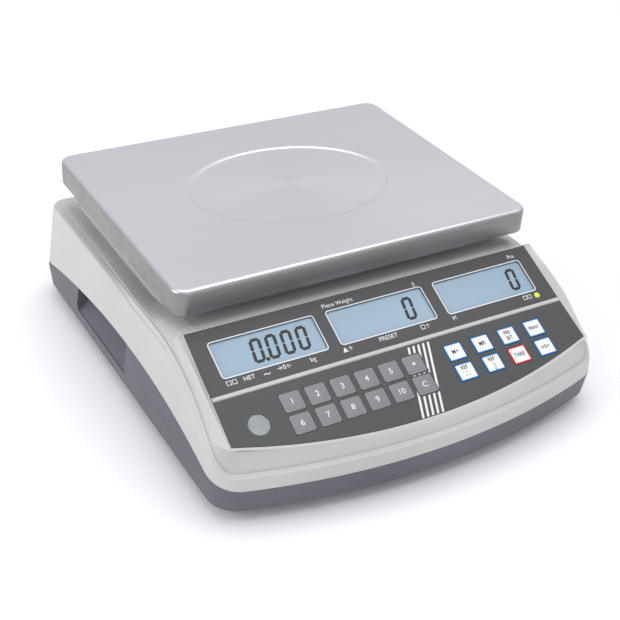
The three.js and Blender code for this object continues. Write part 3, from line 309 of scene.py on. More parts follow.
# ---- Upper housing ----
# The light grey cover: injection-moulded ABS with a satin silver-grey lacquer, screwed to the tray
# from below. Its wall folds over into a strip and a fine groove, then swells into the console's side
# rails and, behind them, steps down to a ledge round the raised deck under the pan.

# The console's own frame has its origin at the middle of the overlay's upper edge: x runs across, y
# up the slope and z out of the face. The keys' press axis gives its tilt.
FILM = 0.8 * MM
press = Vector(joints["key_1_press"]["axis"])
tilt = atan2(press.y, -press.z)
film_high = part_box("display_overlay")[1]
film_origin = Vector((0, film_high.y - FILM * sin(tilt), film_high.z))
console = Matrix.Translation(film_origin) @ Matrix.Rotation(tilt, 4, "X")

# ABS with silver-grey lacquer: a warm pale grey, satin and almost smooth, a little brighter at edges.
light_abs = moulded_plastic(
    "silver_grey_abs_lacquered", "C1C3BE", "B9BBB7", 0.42, 1.4, 0.012, worn="D2D5D0",
)
WALL_LEAN_REAR = radians(7)
WALL_LEAN_CONSOLE = radians(4.1)
WIDEST_Z = 27 * MM
FRONT_RADIUS = 520 * MM
FRONT_CORNER = 24 * MM
REAR_CORNER = 20 * MM
SMALLEST_CORNER = 5 * MM
SHELL = 2.4 * MM
PARTING_GAP = 0.3 * MM
STEP_FRONT_Z = 40 * MM
LEDGE_Z = 82 * MM
DECK_INSET = 32 * MM
FILM_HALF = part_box("keypad_overlay")[1].x
FILM_FLARE = 2.6 * MM
FILM_LENGTH = 107.9 * MM
FILM_BOW = 22 * MM
SEAT = 0.95 * MM
TOP_RISE_SHARE = 0.2
CREST_GROWN_AT = 0.5
CREST_SINKS_FROM = 0.6
BLEND_START = 4 * MM
BLEND_END = 75 * MM
LEAN_CHANGE = (-70 * MM, 60 * MM)
GROOVE_END = (56 * MM, 64 * MM)
GROOVE_DEPTH = 0.7 * MM
BISECTIONS = 24
outer_low, outer_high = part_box("lower_housing")
half_width = outer_high.x
y_front, y_rear = outer_low.y, outer_high.y
y_console = console.translation.y
deck_z = console.translation.z


def height_on(curve, y):
    """Height of a Bezier curve of four (y, z) points, in millimetres, at a place along the body."""
    low, high = 0.0, 1.0
    for _ in range(BISECTIONS):
        t = (low + high) / 2
        weights = ((1 - t) ** 3, 3 * t * (1 - t) ** 2, 3 * t * t * (1 - t), t ** 3)
        at = sum(weight * point[0] for weight, point in zip(weights, curve))
        low, high = (t, high) if at < y / MM else (low, t)
    return sum(weight * point[1] for weight, point in zip(weights, curve)) * MM


def smooth_share(value, start, end):
    """Runs smoothly from 0 at start to 1 at end."""
    share = min(max((value - start) / (end - start), 0), 1)
    return share * share * (3 - 2 * share)


def parting_height(y):
    """Height of the line where the two shells meet: low at both ends, high at the grips."""
    if y < -160 * MM:
        return 28 * MM
    if y < -20 * MM:
        return height_on(((-160, 28), (-143, 28), (-100, 50), (-20, 50)), y)
    return height_on(((-20, 50), (60, 50), (130.5, 38), (177.5, 27)), y)


def step_height(y):
    """Height of the step line: level round the front, up beside the console, then along the ledge."""
    if y < -152 * MM:
        return STEP_FRONT_Z
    if y < -62 * MM:
        return height_on(((-152, 40), (-134, 50), (-112, 78), (-62, 86.5)), y)
    if y < 60 * MM:
        return height_on(((-62, 86.5), (-40, 90), (10, 82), (60, 82)), y)
    return LEDGE_Z


def wall_inset(z, y):
    """How far the wall stands inside the widest outline; it leans in more towards the rear."""
    rearward = smooth_share(y, *LEAN_CHANGE)
    lean = WALL_LEAN_CONSOLE + (WALL_LEAN_REAR - WALL_LEAN_CONSOLE) * rearward
    return max(z - WIDEST_Z, 0) * tan(lean)


FRONT_STEPS = 14
CORNER_STEPS = 10
CONSOLE_STEPS = 30
LEDGE_STEPS = 36


def outline(inset):
    """Right half of the body's outline, from the middle of the front to the middle of the rear."""
    half = half_width - inset
    corner = max(FRONT_CORNER - inset, SMALLEST_CORNER)
    radius = FRONT_RADIUS - inset
    centre_y = y_front + FRONT_RADIUS
    corner_x = half - corner
    swing = atan2(corner_x, sqrt((radius - corner) ** 2 - corner_x ** 2))
    corner_y = centre_y - (radius - corner) * cos(swing)
    rear_corner = max(REAR_CORNER - inset, SMALLEST_CORNER)
    rear = y_rear - inset
    points = [
        (radius * sin(swing * step / FRONT_STEPS), centre_y - radius * cos(swing * step / FRONT_STEPS))
        for step in range(FRONT_STEPS)
    ]
    for step in range(CORNER_STEPS):
        angle = swing + (pi / 2 - swing) * step / CORNER_STEPS
        points.append((corner_x + corner * sin(angle), corner_y - corner * cos(angle)))
    points += [
        (half, corner_y + (y_console - corner_y) * step / CONSOLE_STEPS) for step in range(CONSOLE_STEPS)
    ]
    start = y_console + FILM
    points.append((half, y_console))
    points += [
        (half, start + (rear - rear_corner - start) * step / LEDGE_STEPS) for step in range(LEDGE_STEPS)
    ]
    middle_x = half - rear_corner
    middle_y = rear - rear_corner
    for step in range(CORNER_STEPS + 1):
        angle = pi / 2 * step / CORNER_STEPS
        points.append((middle_x + rear_corner * cos(angle), middle_y + rear_corner * sin(angle)))
    points.append((0, rear))
    return points


def face_ring(margin, rise, deck_inset, deck_height, front_margin=None, front_rise=None):
    """A ring round the console's face, that far outside the films and above the face.

    The front may have its own margin and rise; behind the console it runs round the raised deck.
    """
    front_margin = margin if front_margin is None else front_margin
    front_rise = rise if front_rise is None else front_rise
    corner_down = FILM_LENGTH - FILM_BOW
    bow_radius = (FILM_HALF ** 2 + FILM_BOW ** 2) / (2 * FILM_BOW)
    front_points = FRONT_STEPS + CORNER_STEPS
    ring = []
    for step in range(front_points):
        x = (FILM_HALF + front_margin) * step / front_points
        bow = sqrt(bow_radius ** 2 - min(x, FILM_HALF) ** 2) - bow_radius
        ring.append(console @ Vector((x, -FILM_LENGTH - bow - front_margin, front_rise)))
    for step in range(CONSOLE_STEPS + 1):
        share = 1 - step / CONSOLE_STEPS
        grown = smooth_share(1 - share, 0, CREST_GROWN_AT)
        settled = 1 - (1 - TOP_RISE_SHARE) * smooth_share(1 - share, CREST_SINKS_FROM, 1)
        side_margin = front_margin + (margin - front_margin) * grown
        side_rise = (front_rise + (rise - front_rise) * grown) * settled
        down = (corner_down + front_margin) * share
        narrow = FILM_FLARE * (1 - share)
        ring.append(console @ Vector((FILM_HALF + side_margin - narrow, -down, side_rise)))
    deck = outline(deck_inset)[front_points + CONSOLE_STEPS + 1 :]
    beside = FILM_HALF + margin - FILM_FLARE
    for x, y in deck:
        share = smooth_share(y, y_console + BLEND_START, y_console + BLEND_END)
        across = min(x, beside + (x - beside) * share) if x > 0 else 0
        height = deck_z + max(rise, 0) * TOP_RISE_SHARE
        ring.append(Vector((across, y, height + (deck_height - height) * share)))
    return ring


def wall_ring(drop, extra, groove=0.0):
    """A ring on the leaning wall or the strip: that far below the step line and inside the wall."""
    ring = []
    for _, y in outline(0):
        z = step_height(y) - drop(y) - groove * (1 - smooth_share(y, *GROOVE_END))
        ring.append((wall_inset(z, y) + extra(y), z))
    return [Vector((*outline(inset)[place], z)) for place, (inset, z) in enumerate(ring)]


def fold_drop(y):
    """The outer fold lies this far below the step line."""
    beside_console = 2.2 * smooth_share(y, -150 * MM, -118 * MM)
    beside_deck = 3.2 * smooth_share(y, -20 * MM, 50 * MM)
    return MM * (1.2 + beside_console - beside_deck)


def strip_width(y):
    """Width of the strip between the outer fold and the step line."""
    return MM * (2.8 + 2.0 * smooth_share(y, -20 * MM, 56 * MM))


parting_ring = []
for place, point in enumerate(outline(0)):
    y = point[1]
    z = parting_height(y) + PARTING_GAP
    parting_ring.append(Vector((*outline(wall_inset(z, y))[place], z)))
inner_step = wall_ring(lambda y: -0.3 * MM, lambda y: strip_width(y) + 1.7 * MM)
crest = face_ring(5.4 * MM, 3.6 * MM, DECK_INSET - 7 * MM, LEDGE_Z + 0.4 * MM, 2.2 * MM, 0.5 * MM)
SWELL_PLACE = 0.42
SWELL_BULGE = 0.3
swell = []
for low_point, high_point in zip(inner_step, crest):
    bulge = 1 - smooth_share(low_point.y, y_console, y_console + BLEND_END)
    middle = low_point.lerp(high_point, SWELL_PLACE)
    middle.z += (high_point.z - low_point.z) * SWELL_BULGE * bulge
    swell.append(middle)
# The rings run from the parting line up the wall, over the fold, the strip, the groove and the
# rail's crest, and down to the films' edge; each is set by its distances from those lines.
rings = [
    parting_ring,
    wall_ring(lambda y: fold_drop(y) + 3.2 * MM, lambda y: 0),
    wall_ring(lambda y: fold_drop(y) + 1.5 * MM, lambda y: 0.15 * MM),
    wall_ring(lambda y: fold_drop(y) + 0.4 * MM, lambda y: 0.75 * MM),
    wall_ring(fold_drop, lambda y: 1.8 * MM),
    wall_ring(lambda y: 0, strip_width),
    wall_ring(lambda y: 0, lambda y: strip_width(y) + 0.5 * MM, groove=GROOVE_DEPTH),
    wall_ring(lambda y: 0, lambda y: strip_width(y) + 1.0 * MM, groove=GROOVE_DEPTH),
    inner_step,
    swell,
    crest,
    face_ring(4.2 * MM, 3.7 * MM, DECK_INSET - 6 * MM, LEDGE_Z + 1.2 * MM, 1.6 * MM, 0.5 * MM),
    face_ring(1.8 * MM, 1.2 * MM, DECK_INSET - 3.5 * MM, LEDGE_Z + 5 * MM, 1.2 * MM, 0.35 * MM),
    face_ring(0.8 * MM, 0.1 * MM, DECK_INSET - 1 * MM, deck_z - 2 * MM, 0.8 * MM, 0.1 * MM),
    face_ring(0.35 * MM, 0.0, DECK_INSET + 2 * MM, deck_z),
    face_ring(0.3 * MM, -SEAT, DECK_INSET + 4 * MM, deck_z),
]
cover = bmesh.new()
last_edges = []
for ring in rings:
    whole = ring + [Vector((-point.x, point.y, point.z)) for point in ring[-2:0:-1]]
    corners = [cover.verts.new(point) for point in whole]
    edges = [cover.edges.new((corners[at - 1], corners[at])) for at in range(len(corners))]
    if last_edges:
        bmesh.ops.bridge_loops(cover, edges=last_edges + edges)
    last_edges = edges
break_at = FRONT_STEPS + CORNER_STEPS + CONSOLE_STEPS
left = [corners[0]] + corners[:0:-1]
face_row = (corners[break_at], left[break_at])
deck_row = (corners[break_at + 1], left[break_at + 1])
cover.faces.new(corners[: break_at + 1] + left[break_at:0:-1])
cover.faces.new((face_row[0], deck_row[0], deck_row[1], face_row[1]))
half_count = len(rings[-1])
cover.faces.new(corners[break_at + 1 : half_count] + left[half_count - 2 : break_at : -1])
bmesh.ops.recalc_face_normals(cover, faces=cover.faces[:])
if sum(face.normal.z * face.calc_area() for face in cover.faces) < 0:
    bmesh.ops.reverse_faces(cover, faces=cover.faces[:])
cover_piece = finished(
    "cover", cover, light_abs, "base", replaced=("upper_housing",),
)
wall = cover_piece.modifiers.new("wall", "SOLIDIFY")
wall.thickness = SHELL
wall.offset = -1


def add_block(shape, low, high, margin=0.0):
    """Adds a block between two corners, grown by a margin."""
    made = bmesh.ops.create_cube(shape, size=1)["verts"]
    bmesh.ops.scale(shape, verts=made, vec=high - low + Vector((2, 2, 2)) * margin)
    bmesh.ops.translate(shape, verts=made, vec=(low + high) / 2)


def cut_away(piece, cutter_shape):
    """Cuts a shape out of a piece for good; its modifiers are applied first."""
    cutter_surface = bpy.data.meshes.new("cutter")
    cutter_shape.to_mesh(cutter_surface)
    cutter_shape.free()
    cutter = bpy.data.objects.new("cutter", cutter_surface)
    bpy.context.scene.collection.objects.link(cutter)
    cut = piece.modifiers.new("cut", "BOOLEAN")
    cut.object = cutter
    cut.operation = "DIFFERENCE"
    cut.solver = "EXACT"
    bpy.context.view_layer.update()
    evaluated = piece.evaluated_get(bpy.context.evaluated_depsgraph_get())
    cut_surface = bpy.data.meshes.new_from_object(evaluated)
    piece.modifiers.clear()
    old = piece.data
    piece.data = cut_surface
    cut_surface.name = piece.name
    bpy.data.meshes.remove(old)
    bpy.data.objects.remove(cutter)


def console_box(node):
    """Lowest and highest corner of a CAD node, in the console's own frame."""
    to_console = console.inverted()
    points = [to_console @ vertex.co for vertex in nodes[node].data.vertices]
    low = Vector([min(point[axis] for point in points) for axis in range(3)])
    high = Vector([max(point[axis] for point in points) for axis in range(3)])
    return low, high


# Openings for the display glasses, the two groups of keys, the level, the lamp, the pan support's
# hub and the three sockets.
FIT = 0.3 * MM
THROUGH = Vector((0, 0, 12 * MM))
HUB_HALF = 17 * MM
HUB_BELOW = 20 * MM
HUB_ABOVE = 10 * MM
SOCKET_LIP = 1.8 * MM
SOCKET_DEPTH = 12 * MM
SOCKET_BEYOND = 5 * MM
HOLE_SIDES = 48
openings = bmesh.new()
for part in ("lcd_weight", "lcd_piece_weight", "lcd_piece_count"):
    low, high = console_box(part)
    add_block(openings, low - THROUGH, high + THROUGH, FIT)
for rows in (("key_1", "key_clear"), ("key_memory_add", "key_zero")):
    corners = [corner for key in rows for corner in console_box(key)]
    low = Vector([min(corner[axis] for corner in corners) for axis in range(3)])
    high = Vector([max(corner[axis] for corner in corners) for axis in range(3)])
    add_block(openings, low - THROUGH, high + THROUGH, FIT)
for part in ("level_window", "status_lamp"):
    low, high = console_box(part)
    radius = (high.x - low.x) / 2 + FIT
    bmesh.ops.create_cone(
        openings, cap_ends=True, segments=HOLE_SIDES, radius1=radius, radius2=radius,
        depth=2 * THROUGH.z, matrix=Matrix.Translation((low + high) / 2),
    )
bmesh.ops.transform(openings, verts=openings.verts[:], matrix=console)
hub_middle = (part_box("support_screw_left")[0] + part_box("support_screw_right")[1]) / 2
add_block(
    openings,
    Vector((hub_middle.x - HUB_HALF, hub_middle.y - HUB_HALF, deck_z - HUB_BELOW)),
    Vector((hub_middle.x + HUB_HALF, hub_middle.y + HUB_HALF, deck_z + HUB_ABOVE)),
)
for part in ("power_inlet", "switch_bezel", "serial_socket"):
    low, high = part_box(part)
    add_block(
        openings,
        Vector((low.x + SOCKET_LIP, y_rear - SOCKET_DEPTH, low.z + SOCKET_LIP)),
        Vector((high.x - SOCKET_LIP, y_rear + SOCKET_BEYOND, high.z - SOCKET_LIP)),
    )
bmesh.ops.recalc_face_normals(openings, faces=openings.faces[:])
cut_away(cover_piece, openings)
cover_piece.data.set_sharp_from_angle(angle=SHARP_ANGLE)


# ---- Ridge between the overlays ----
# A narrow rounded bar of the cover's own plastic, moulded in one with its face, that parts the two
# films.
RIDGE_TOP = 49.7 * MM
RIDGE_FOOT = 53.0 * MM
RIDGE_RISE = 1.0 * MM
RIDGE_ROUND = 1.2 * MM
RIDGE_SINK = SEAT + 0.5 * MM
ridge = bmesh.new()
ridge_half = FILM_HALF - 1.0 * MM
add_block(
    ridge, Vector((-ridge_half, -RIDGE_FOOT, -RIDGE_SINK)), Vector((ridge_half, -RIDGE_TOP, RIDGE_RISE)),
)
long_edges = [edge for edge in ridge.edges if min(vertex.co.z for vertex in edge.verts) > 0]
bmesh.ops.bevel(
    ridge, geom=long_edges, affect="EDGES", offset=RIDGE_ROUND, segments=5, profile=0.5, material=-1,
)
bmesh.ops.transform(ridge, verts=ridge.verts[:], matrix=console)
finished("cover_ridge", ridge, light_abs, "base")


# ---- Overlays ----
# Two printed polyester films glued to the console's face: one round the displays and one round the
# keys. Printed from behind in dark grey, so the front has a fine matt texture.

# Printed polyester film: an even dark grey with a soft sheen and paler cut edges.
film = moulded_plastic(
    "polyester_film_dark_grey", "414244", "3D3E40", 0.42, 1.0, 0.008, worn="6A6B6D", edge_mm=0.4,
)
dress("display_overlay", film)
dress("keypad_overlay", film)


# ---- Display glasses ----
# Three liquid crystal displays with a blue-grey backlight behind the film's windows. The digits are
# seven-segment figures that lean slightly.

# Backlit liquid crystal glass: a glossy pale blue, a little uneven as its backlight is.
lcd_glass = moulded_plastic(
    "liquid_crystal_backlit", "93AABC", "8FA6B8", 0.18, 3.0, 0.002, edge_mm=0.2,
)
# Dark segments: near-black, dulled by the glass over them.
segment_black = moulded_plastic(
    "display_segment_dark", "070C0D", "040808", 0.4, 1.0, 0.001, edge_mm=0.05,
)
for part in ("lcd_weight", "lcd_piece_weight", "lcd_piece_count"):
    dress(part, lcd_glass)

DIGIT_HEIGHT = 19.2 * MM
DIGIT_WIDTH = 9 * MM
DIGIT_PITCH = 11.7 * MM
DIGIT_LEAN = 0.13
SEGMENT = 2.7 * MM
SEGMENT_GAP = 0.3 * MM
SEGMENT_THICKNESS = 0.1 * MM
LCD_DOWN = 24.8 * MM
LCD_FACE = -1.4 * MM
POINT_RADIUS = SEGMENT * 0.55
POINT_AHEAD = DIGIT_PITCH / 2 - 1.2 * MM
FIRST_DIGITS = {"lcd_weight": -64.4 * MM, "lcd_piece_weight": 23.6 * MM, "lcd_piece_count": 118.2 * MM}
WEIGHT_DIGITS = 4


def add_digit(shape, x):
    """A nought: two upright segments on each side, one across the top and one across the bottom."""
    half_across = (DIGIT_WIDTH - SEGMENT) / 2
    half_height = (DIGIT_HEIGHT - SEGMENT) / 2
    bars = [(0, end * half_height, DIGIT_WIDTH - SEGMENT, 0) for end in (1, -1)]
    bars += [
        (side * half_across, end * half_height / 2, half_height, pi / 2)
        for side in (-1, 1) for end in (-1, 1)
    ]
    lean = Matrix(((1, DIGIT_LEAN, 0), (0, 1, 0), (0, 0, 1))).to_4x4()
    for bar_x, bar_y, length, angle in bars:
        made = bmesh.ops.create_circle(shape, cap_ends=True, segments=6, radius=SEGMENT / 2)["verts"]
        stretch = (length - SEGMENT_GAP - SEGMENT) / 2
        bmesh.ops.rotate(shape, verts=made, matrix=Matrix.Rotation(pi / 2, 3, "Z"))
        for corner in made:
            if abs(corner.co.x) > SEGMENT / 10:
                corner.co.x += stretch if corner.co.x > 0 else -stretch
        turned = Matrix.Translation((bar_x, bar_y, 0)) @ Matrix.Rotation(angle, 4, "Z")
        bmesh.ops.transform(shape, verts=made, matrix=lean @ turned)
        bmesh.ops.translate(shape, verts=made, vec=(x, 0, 0))


def raise_print(shape, thickness):
    """Gives flat shapes the thickness of what is printed or engraved."""
    made = bmesh.ops.extrude_face_region(shape, geom=shape.faces[:])
    lifted = [item for item in made["geom"] if isinstance(item, bmesh.types.BMVert)]
    bmesh.ops.translate(shape, verts=lifted, vec=(0, 0, thickness))
    bmesh.ops.recalc_face_normals(shape, faces=shape.faces[:])


for part, first_x in FIRST_DIGITS.items():
    digits = bmesh.new()
    add_digit(digits, first_x)
    if part == "lcd_weight":
        for count in range(1, WEIGHT_DIGITS):
            add_digit(digits, first_x - count * DIGIT_PITCH)
        dot = bmesh.ops.create_circle(digits, cap_ends=True, segments=16, radius=POINT_RADIUS)["verts"]
        last_x = first_x - (WEIGHT_DIGITS - 1) * DIGIT_PITCH
        dot_place = (last_x + POINT_AHEAD, (SEGMENT - DIGIT_HEIGHT) / 2, 0)
        bmesh.ops.translate(digits, verts=dot, vec=dot_place)
    raise_print(digits, SEGMENT_THICKNESS)
    bmesh.ops.transform(
        digits, verts=digits.verts[:],
        matrix=console @ Matrix.Translation((0, -LCD_DOWN, LCD_FACE)),
    )
    finished(f"{part}_digits", digits, segment_black, "base", smooth=False)


# ---- Printing on the overlays ----
# White screen printing: an outline round each window, the units and state marks beside them, and a
# group of plain upright lines between the two keypads.
PRINT_THICKNESS = 0.04 * MM
WINDOW_WIDTH = 80 * MM
WINDOW_PITCH = 91 * MM
WINDOW_HEIGHT = 27.4 * MM
WINDOW_CORNER = 2 * MM
OUTLINE = 0.8 * MM


def add_rounded_plate(shape, width, height, corner, x, y, hole=0):
    """A flat plate with rounded corners; with hole, only a rim of that width is left."""
    made = bmesh.ops.create_grid(shape, x_segments=1, y_segments=1, size=0.5)["verts"]
    bmesh.ops.scale(shape, verts=made, vec=(width, height, 1))
    bmesh.ops.translate(shape, verts=made, vec=(x, y, 0))
    bmesh.ops.bevel(
        shape, geom=made, affect="VERTICES", offset=corner, segments=6, profile=0.5, material=-1,
    )
    middle = min(shape.faces, key=lambda face: (face.calc_center_median() - Vector((x, y, 0))).length)
    if hole:
        bmesh.ops.inset_region(shape, faces=[middle], thickness=hole, use_boundary=True)
        bmesh.ops.delete(shape, geom=[middle], context="FACES")
    return middle


def add_words(shape, words, height, x, y, squeeze=1.0, weight=0.0):
    """Sets words in plain letters, centred on a place, and adds them as flat shapes."""
    curve = bpy.data.curves.new("words", "FONT")
    curve.body = words
    curve.align_x = "CENTER"
    curve.align_y = "CENTER"
    curve.size = height
    curve.offset = weight
    curve.resolution_u = 4
    holder = bpy.data.objects.new("words", curve)
    bpy.context.scene.collection.objects.link(holder)
    bpy.context.view_layer.update()
    drawn = holder.evaluated_get(bpy.context.evaluated_depsgraph_get())
    letters = bpy.data.meshes.new_from_object(drawn)
    bpy.data.objects.remove(holder)
    letters.transform(Matrix.Translation((x, y, 0)) @ Matrix.Diagonal((squeeze, 1, 1, 1)))
    shape.from_mesh(letters)
    bpy.data.meshes.remove(letters)


# Screen ink, printed: a soft, slightly grey white without gloss.
white_ink = moulded_plastic("white_screen_ink", "E9EAEA", "E0E1E2", 0.5, 1.0, 0.004, edge_mm=0.1)
STROKE_GAIN = 0.055 * MM
display_print = bmesh.new()
for place in (-1, 0, 1):
    add_rounded_plate(
        display_print, WINDOW_WIDTH + 2 * OUTLINE, WINDOW_HEIGHT + 2 * OUTLINE,
        WINDOW_CORNER + OUTLINE, place * WINDOW_PITCH, -LCD_DOWN, hole=OUTLINE,
    )
for words, height, x, down in (
    ("Piece Weight", 4.7, -28.1, 6.5),
    ("g", 4.8, 36.1, 6.9),
    ("Pcs", 4.7, 126.7, 6.5),
    ("kg", 4.9, -65.5, 43.0),
    ("NET", 4.7, -114.0, 43.0),
    ("~", 9.0, -101.0, 43.6),
    ("→0←", 4.9, -87.4, 42.6),
    ("▲↑", 4.9, -37.7, 43.2),
    ("PRESET", 4.9, -4.2, 42.8),
    ("□↑", 4.9, 27.3, 42.9),
    ("M", 4.9, 53.3, 42.8),
    ("□□", 4.6, 120.2, 43.1),
    ("□□", 4.6, -126.9, 43.1),
):
    add_words(display_print, words, height * MM, x * MM, -down * MM, weight=STROKE_GAIN)
raise_print(display_print, PRINT_THICKNESS)
bmesh.ops.transform(display_print, verts=display_print.verts[:], matrix=console)
finished("display_printing", display_print, white_ink, "base", smooth=False)

LINE_COUNT = 5
LINE_WIDTH = 1.7 * MM
LINE_PITCH = 4.1 * MM
LINE_TOP = Vector((14.3 * MM, -54.6 * MM, 0))
LINE_BOTTOM = Vector((-2.6 * MM, -107.4 * MM, 0))
KEY_MARGIN = 0.9 * MM
CUT_HALF = 2 * MM
lines = bmesh.new()
run = LINE_BOTTOM - LINE_TOP
slant = Matrix(((1, run.x / run.y, 0), (0, 1, 0), (0, 0, 1))).to_4x4()
for count in range(LINE_COUNT):
    across = (count - (LINE_COUNT - 1) / 2) * LINE_PITCH
    line_place = (LINE_TOP + LINE_BOTTOM) / 2 + Vector((across, 0, 0))
    made = bmesh.ops.create_grid(lines, x_segments=1, y_segments=1, size=0.5)["verts"]
    bmesh.ops.scale(lines, verts=made, vec=(LINE_WIDTH, run.y, 1))
    bmesh.ops.transform(lines, verts=made, matrix=Matrix.Translation(line_place) @ slant)
raise_print(lines, PRINT_THICKNESS)
bmesh.ops.transform(lines, verts=lines.verts[:], matrix=console)
keypad_lines = finished("keypad_lines", lines, white_ink, "base", smooth=False)
covered = bmesh.new()
for key in ("key_5", "key_10", "key_point", "key_clear"):
    low, high = console_box(key)
    low.z, high.z = -CUT_HALF, CUT_HALF
    margin = Vector((KEY_MARGIN, KEY_MARGIN, 0))
    add_block(covered, low - margin, high + margin)
bmesh.ops.transform(covered, verts=covered.verts[:], matrix=console)
cut_away(keypad_lines, covered)


# ---- Keys ----
# Twelve grey number keys and eight white function keys, domed slightly through the film over metal
# snap domes. Each is a moulded cap with its legend printed on it; function keys have a coloured rim.
KEY_CORNER = 1.3 * MM
KEY_EDGE = 0.25 * MM
KEY_RIM = 1.0 * MM
LEGEND_GAIN = 0.08 * MM

# Grey ABS for the number keys: half-matt, with corners worn a little paler by fingers.
key_grey = moulded_plastic(
    "key_grey_abs", "808082", "7A7A7C", 0.42, 1.0, 0.01, worn="9A9A9C", edge_mm=0.3,
)
# White ABS for the function keys: a clean, half-matt white.
key_white = moulded_plastic("key_white_abs", "F1F2F3", "EAEBEC", 0.4, 1.0, 0.008, edge_mm=0.2)
# Inks for the rims and legends: even, strong colours with a low sheen.
rim_blue = moulded_plastic("key_rim_blue_ink", "1473B9", "106BAF", 0.4, 1.0, 0.006, edge_mm=0.2)
rim_red = moulded_plastic("key_rim_red_ink", "E1222B", "D61C26", 0.4, 1.0, 0.006, edge_mm=0.2)
legend_dark = moulded_plastic("legend_dark_ink", "2E2F33", "27282C", 0.5, 1.0, 0.004, edge_mm=0.05)
NUMBER_LEGENDS = {"key_point": "•", "key_clear": "C"}
FUNCTION_LEGENDS = {
    "key_memory_add": (("M+", 5.0, 0),),
    "key_memory_recall": (("MR", 5.0, 0),),
    "key_preset": (("PRE", 4.4, 2.4), ("SET", 4.4, -2.2)),
    "key_print": (("PRINT", 3.9, 0),),
    "key_reference_heap": (("REF", 4.4, 3.2), ("∴", 8.0, -2.0)),
    "key_reference_bottle": (("REF", 4.4, 3.2), ("▯", 5.5, -2.4)),
    "key_tare": (("TARE", 4.6, 0),),
    "key_zero": (("→0←", 4.6, 0),),
}
NUMBER_HEIGHT = 6.0
POINT_HEIGHT = 9.0
NUMBER_STRETCH = 1.05
WORD_SQUEEZE = 0.86


def key_cap(low, high, rimmed):
    """A cap with rounded corners and edges; a rimmed one has its face parted from its rim."""
    span = high - low
    cap = bmesh.new()
    add_block(cap, low, high)
    upright = [edge for edge in cap.edges if abs(edge.verts[0].co.z - edge.verts[1].co.z) > span.z / 2]
    bmesh.ops.bevel(
        cap, geom=upright, affect="EDGES", offset=KEY_CORNER, segments=5, profile=0.5, material=-1,
    )
    near_top = high.z - span.z / 4
    top_edges = [edge for edge in cap.edges if min(vertex.co.z for vertex in edge.verts) > near_top]
    bmesh.ops.bevel(
        cap, geom=top_edges, affect="EDGES", offset=KEY_EDGE, segments=3, profile=0.5, material=-1,
    )
    if rimmed:
        face = max(cap.faces, key=lambda one: one.calc_area() if one.normal.z > 0.9 else 0)
        bmesh.ops.inset_region(cap, faces=[face], thickness=KEY_RIM - KEY_EDGE)
        face.material_index = 1
    bmesh.ops.transform(cap, verts=cap.verts[:], matrix=console)
    return cap


for key in [name for name in nodes if name.startswith("key_")]:
    low, high = console_box(key)
    middle = (low + high) / 2
    if key in FUNCTION_LEGENDS:
        finish = [rim_red if key == "key_tare" else rim_blue, key_white]
        ink = legend_dark
        squeeze = WORD_SQUEEZE
        words = FUNCTION_LEGENDS[key]
    else:
        finish = key_grey
        ink = white_ink
        squeeze = NUMBER_STRETCH
        number = NUMBER_LEGENDS.get(key, key.removeprefix("key_"))
        words = ((number, POINT_HEIGHT if key == "key_point" else NUMBER_HEIGHT, 0),)
    cap = key_cap(low, high, rimmed=key in FUNCTION_LEGENDS)
    finished(f"{key}_cap", cap, finish, f"{key}_cap", replaced=(key,))
    legend = bmesh.new()
    for text, height, rise in words:
        add_words(
            legend, text, height * MM, middle.x, middle.y + rise * MM, squeeze, LEGEND_GAIN,
        )
    raise_print(legend, PRINT_THICKNESS)
    on_cap = console @ Matrix.Translation((0, 0, high.z))
    bmesh.ops.transform(legend, verts=legend.verts[:], matrix=on_cap)
    finished(f"{key}_legend", legend, ink, f"{key}_cap", smooth=False)


# ---- Level and lamp ----
# A bubble level under a clear window in the film, so that the scale can be set upright on its feet,
# and a small green lamp that shows when it runs.
TINT_CLOUDS_PER_METRE = 160.0


def clear_plastic(name, colour, shaded, roughness, scuff_mm, **shader_inputs):
    """Clear plastic: slow tint clouding, and fine scuffs that dull its polish and raise its face."""
    material, tree, shader = new_material(name, **shader_inputs)
    place = add_node(tree, "ShaderNodeTexCoord").outputs["Object"]
    clouds = add_node(
        tree, "ShaderNodeTexNoise", {"Vector": place, "Scale": TINT_CLOUDS_PER_METRE, "Detail": 2.0},
    )
    scuffs = add_node(
        tree, "ShaderNodeTexNoise",
        {"Vector": place, "Scale": 1 / (scuff_mm * MM), "Detail": 3.0},
    )
    tint = add_node(
        tree, "ShaderNodeMix",
        {"Factor": clouds.outputs["Fac"], "A": linear(shaded), "B": linear(colour)},
        data_type="RGBA",
    )
    gloss = add_node(
        tree, "ShaderNodeMapRange",
        {"Value": scuffs.outputs["Fac"], "To Min": roughness - 0.04, "To Max": roughness + 0.06},
    )
    bump = add_node(
        tree, "ShaderNodeBump",
        {"Height": scuffs.outputs["Fac"], "Distance": 0.002 * MM, "Strength": 0.3},
    )
    tree.links.new(tint.outputs["Result"], shader.inputs["Base Color"])
    tree.links.new(gloss.outputs["Result"], shader.inputs["Roughness"])
    tree.links.new(bump.outputs["Normal"], shader.inputs["Normal"])
    return material


# Clear acrylic, polished: nearly colourless and glossy, with faint scuffs.
clear_acrylic = clear_plastic(
    "clear_acrylic_polished", "E8EEF2", "DFE6EA", 0.07, 1.0, transmission_weight=0.75, ior=1.49,
)
# The level's fluid in its vial: a bright yellow green with a wet gloss.
level_fluid = moulded_plastic("level_fluid_green", "B7D93A", "A2C52E", 0.12, 4.0, 0.002, edge_mm=0.2)
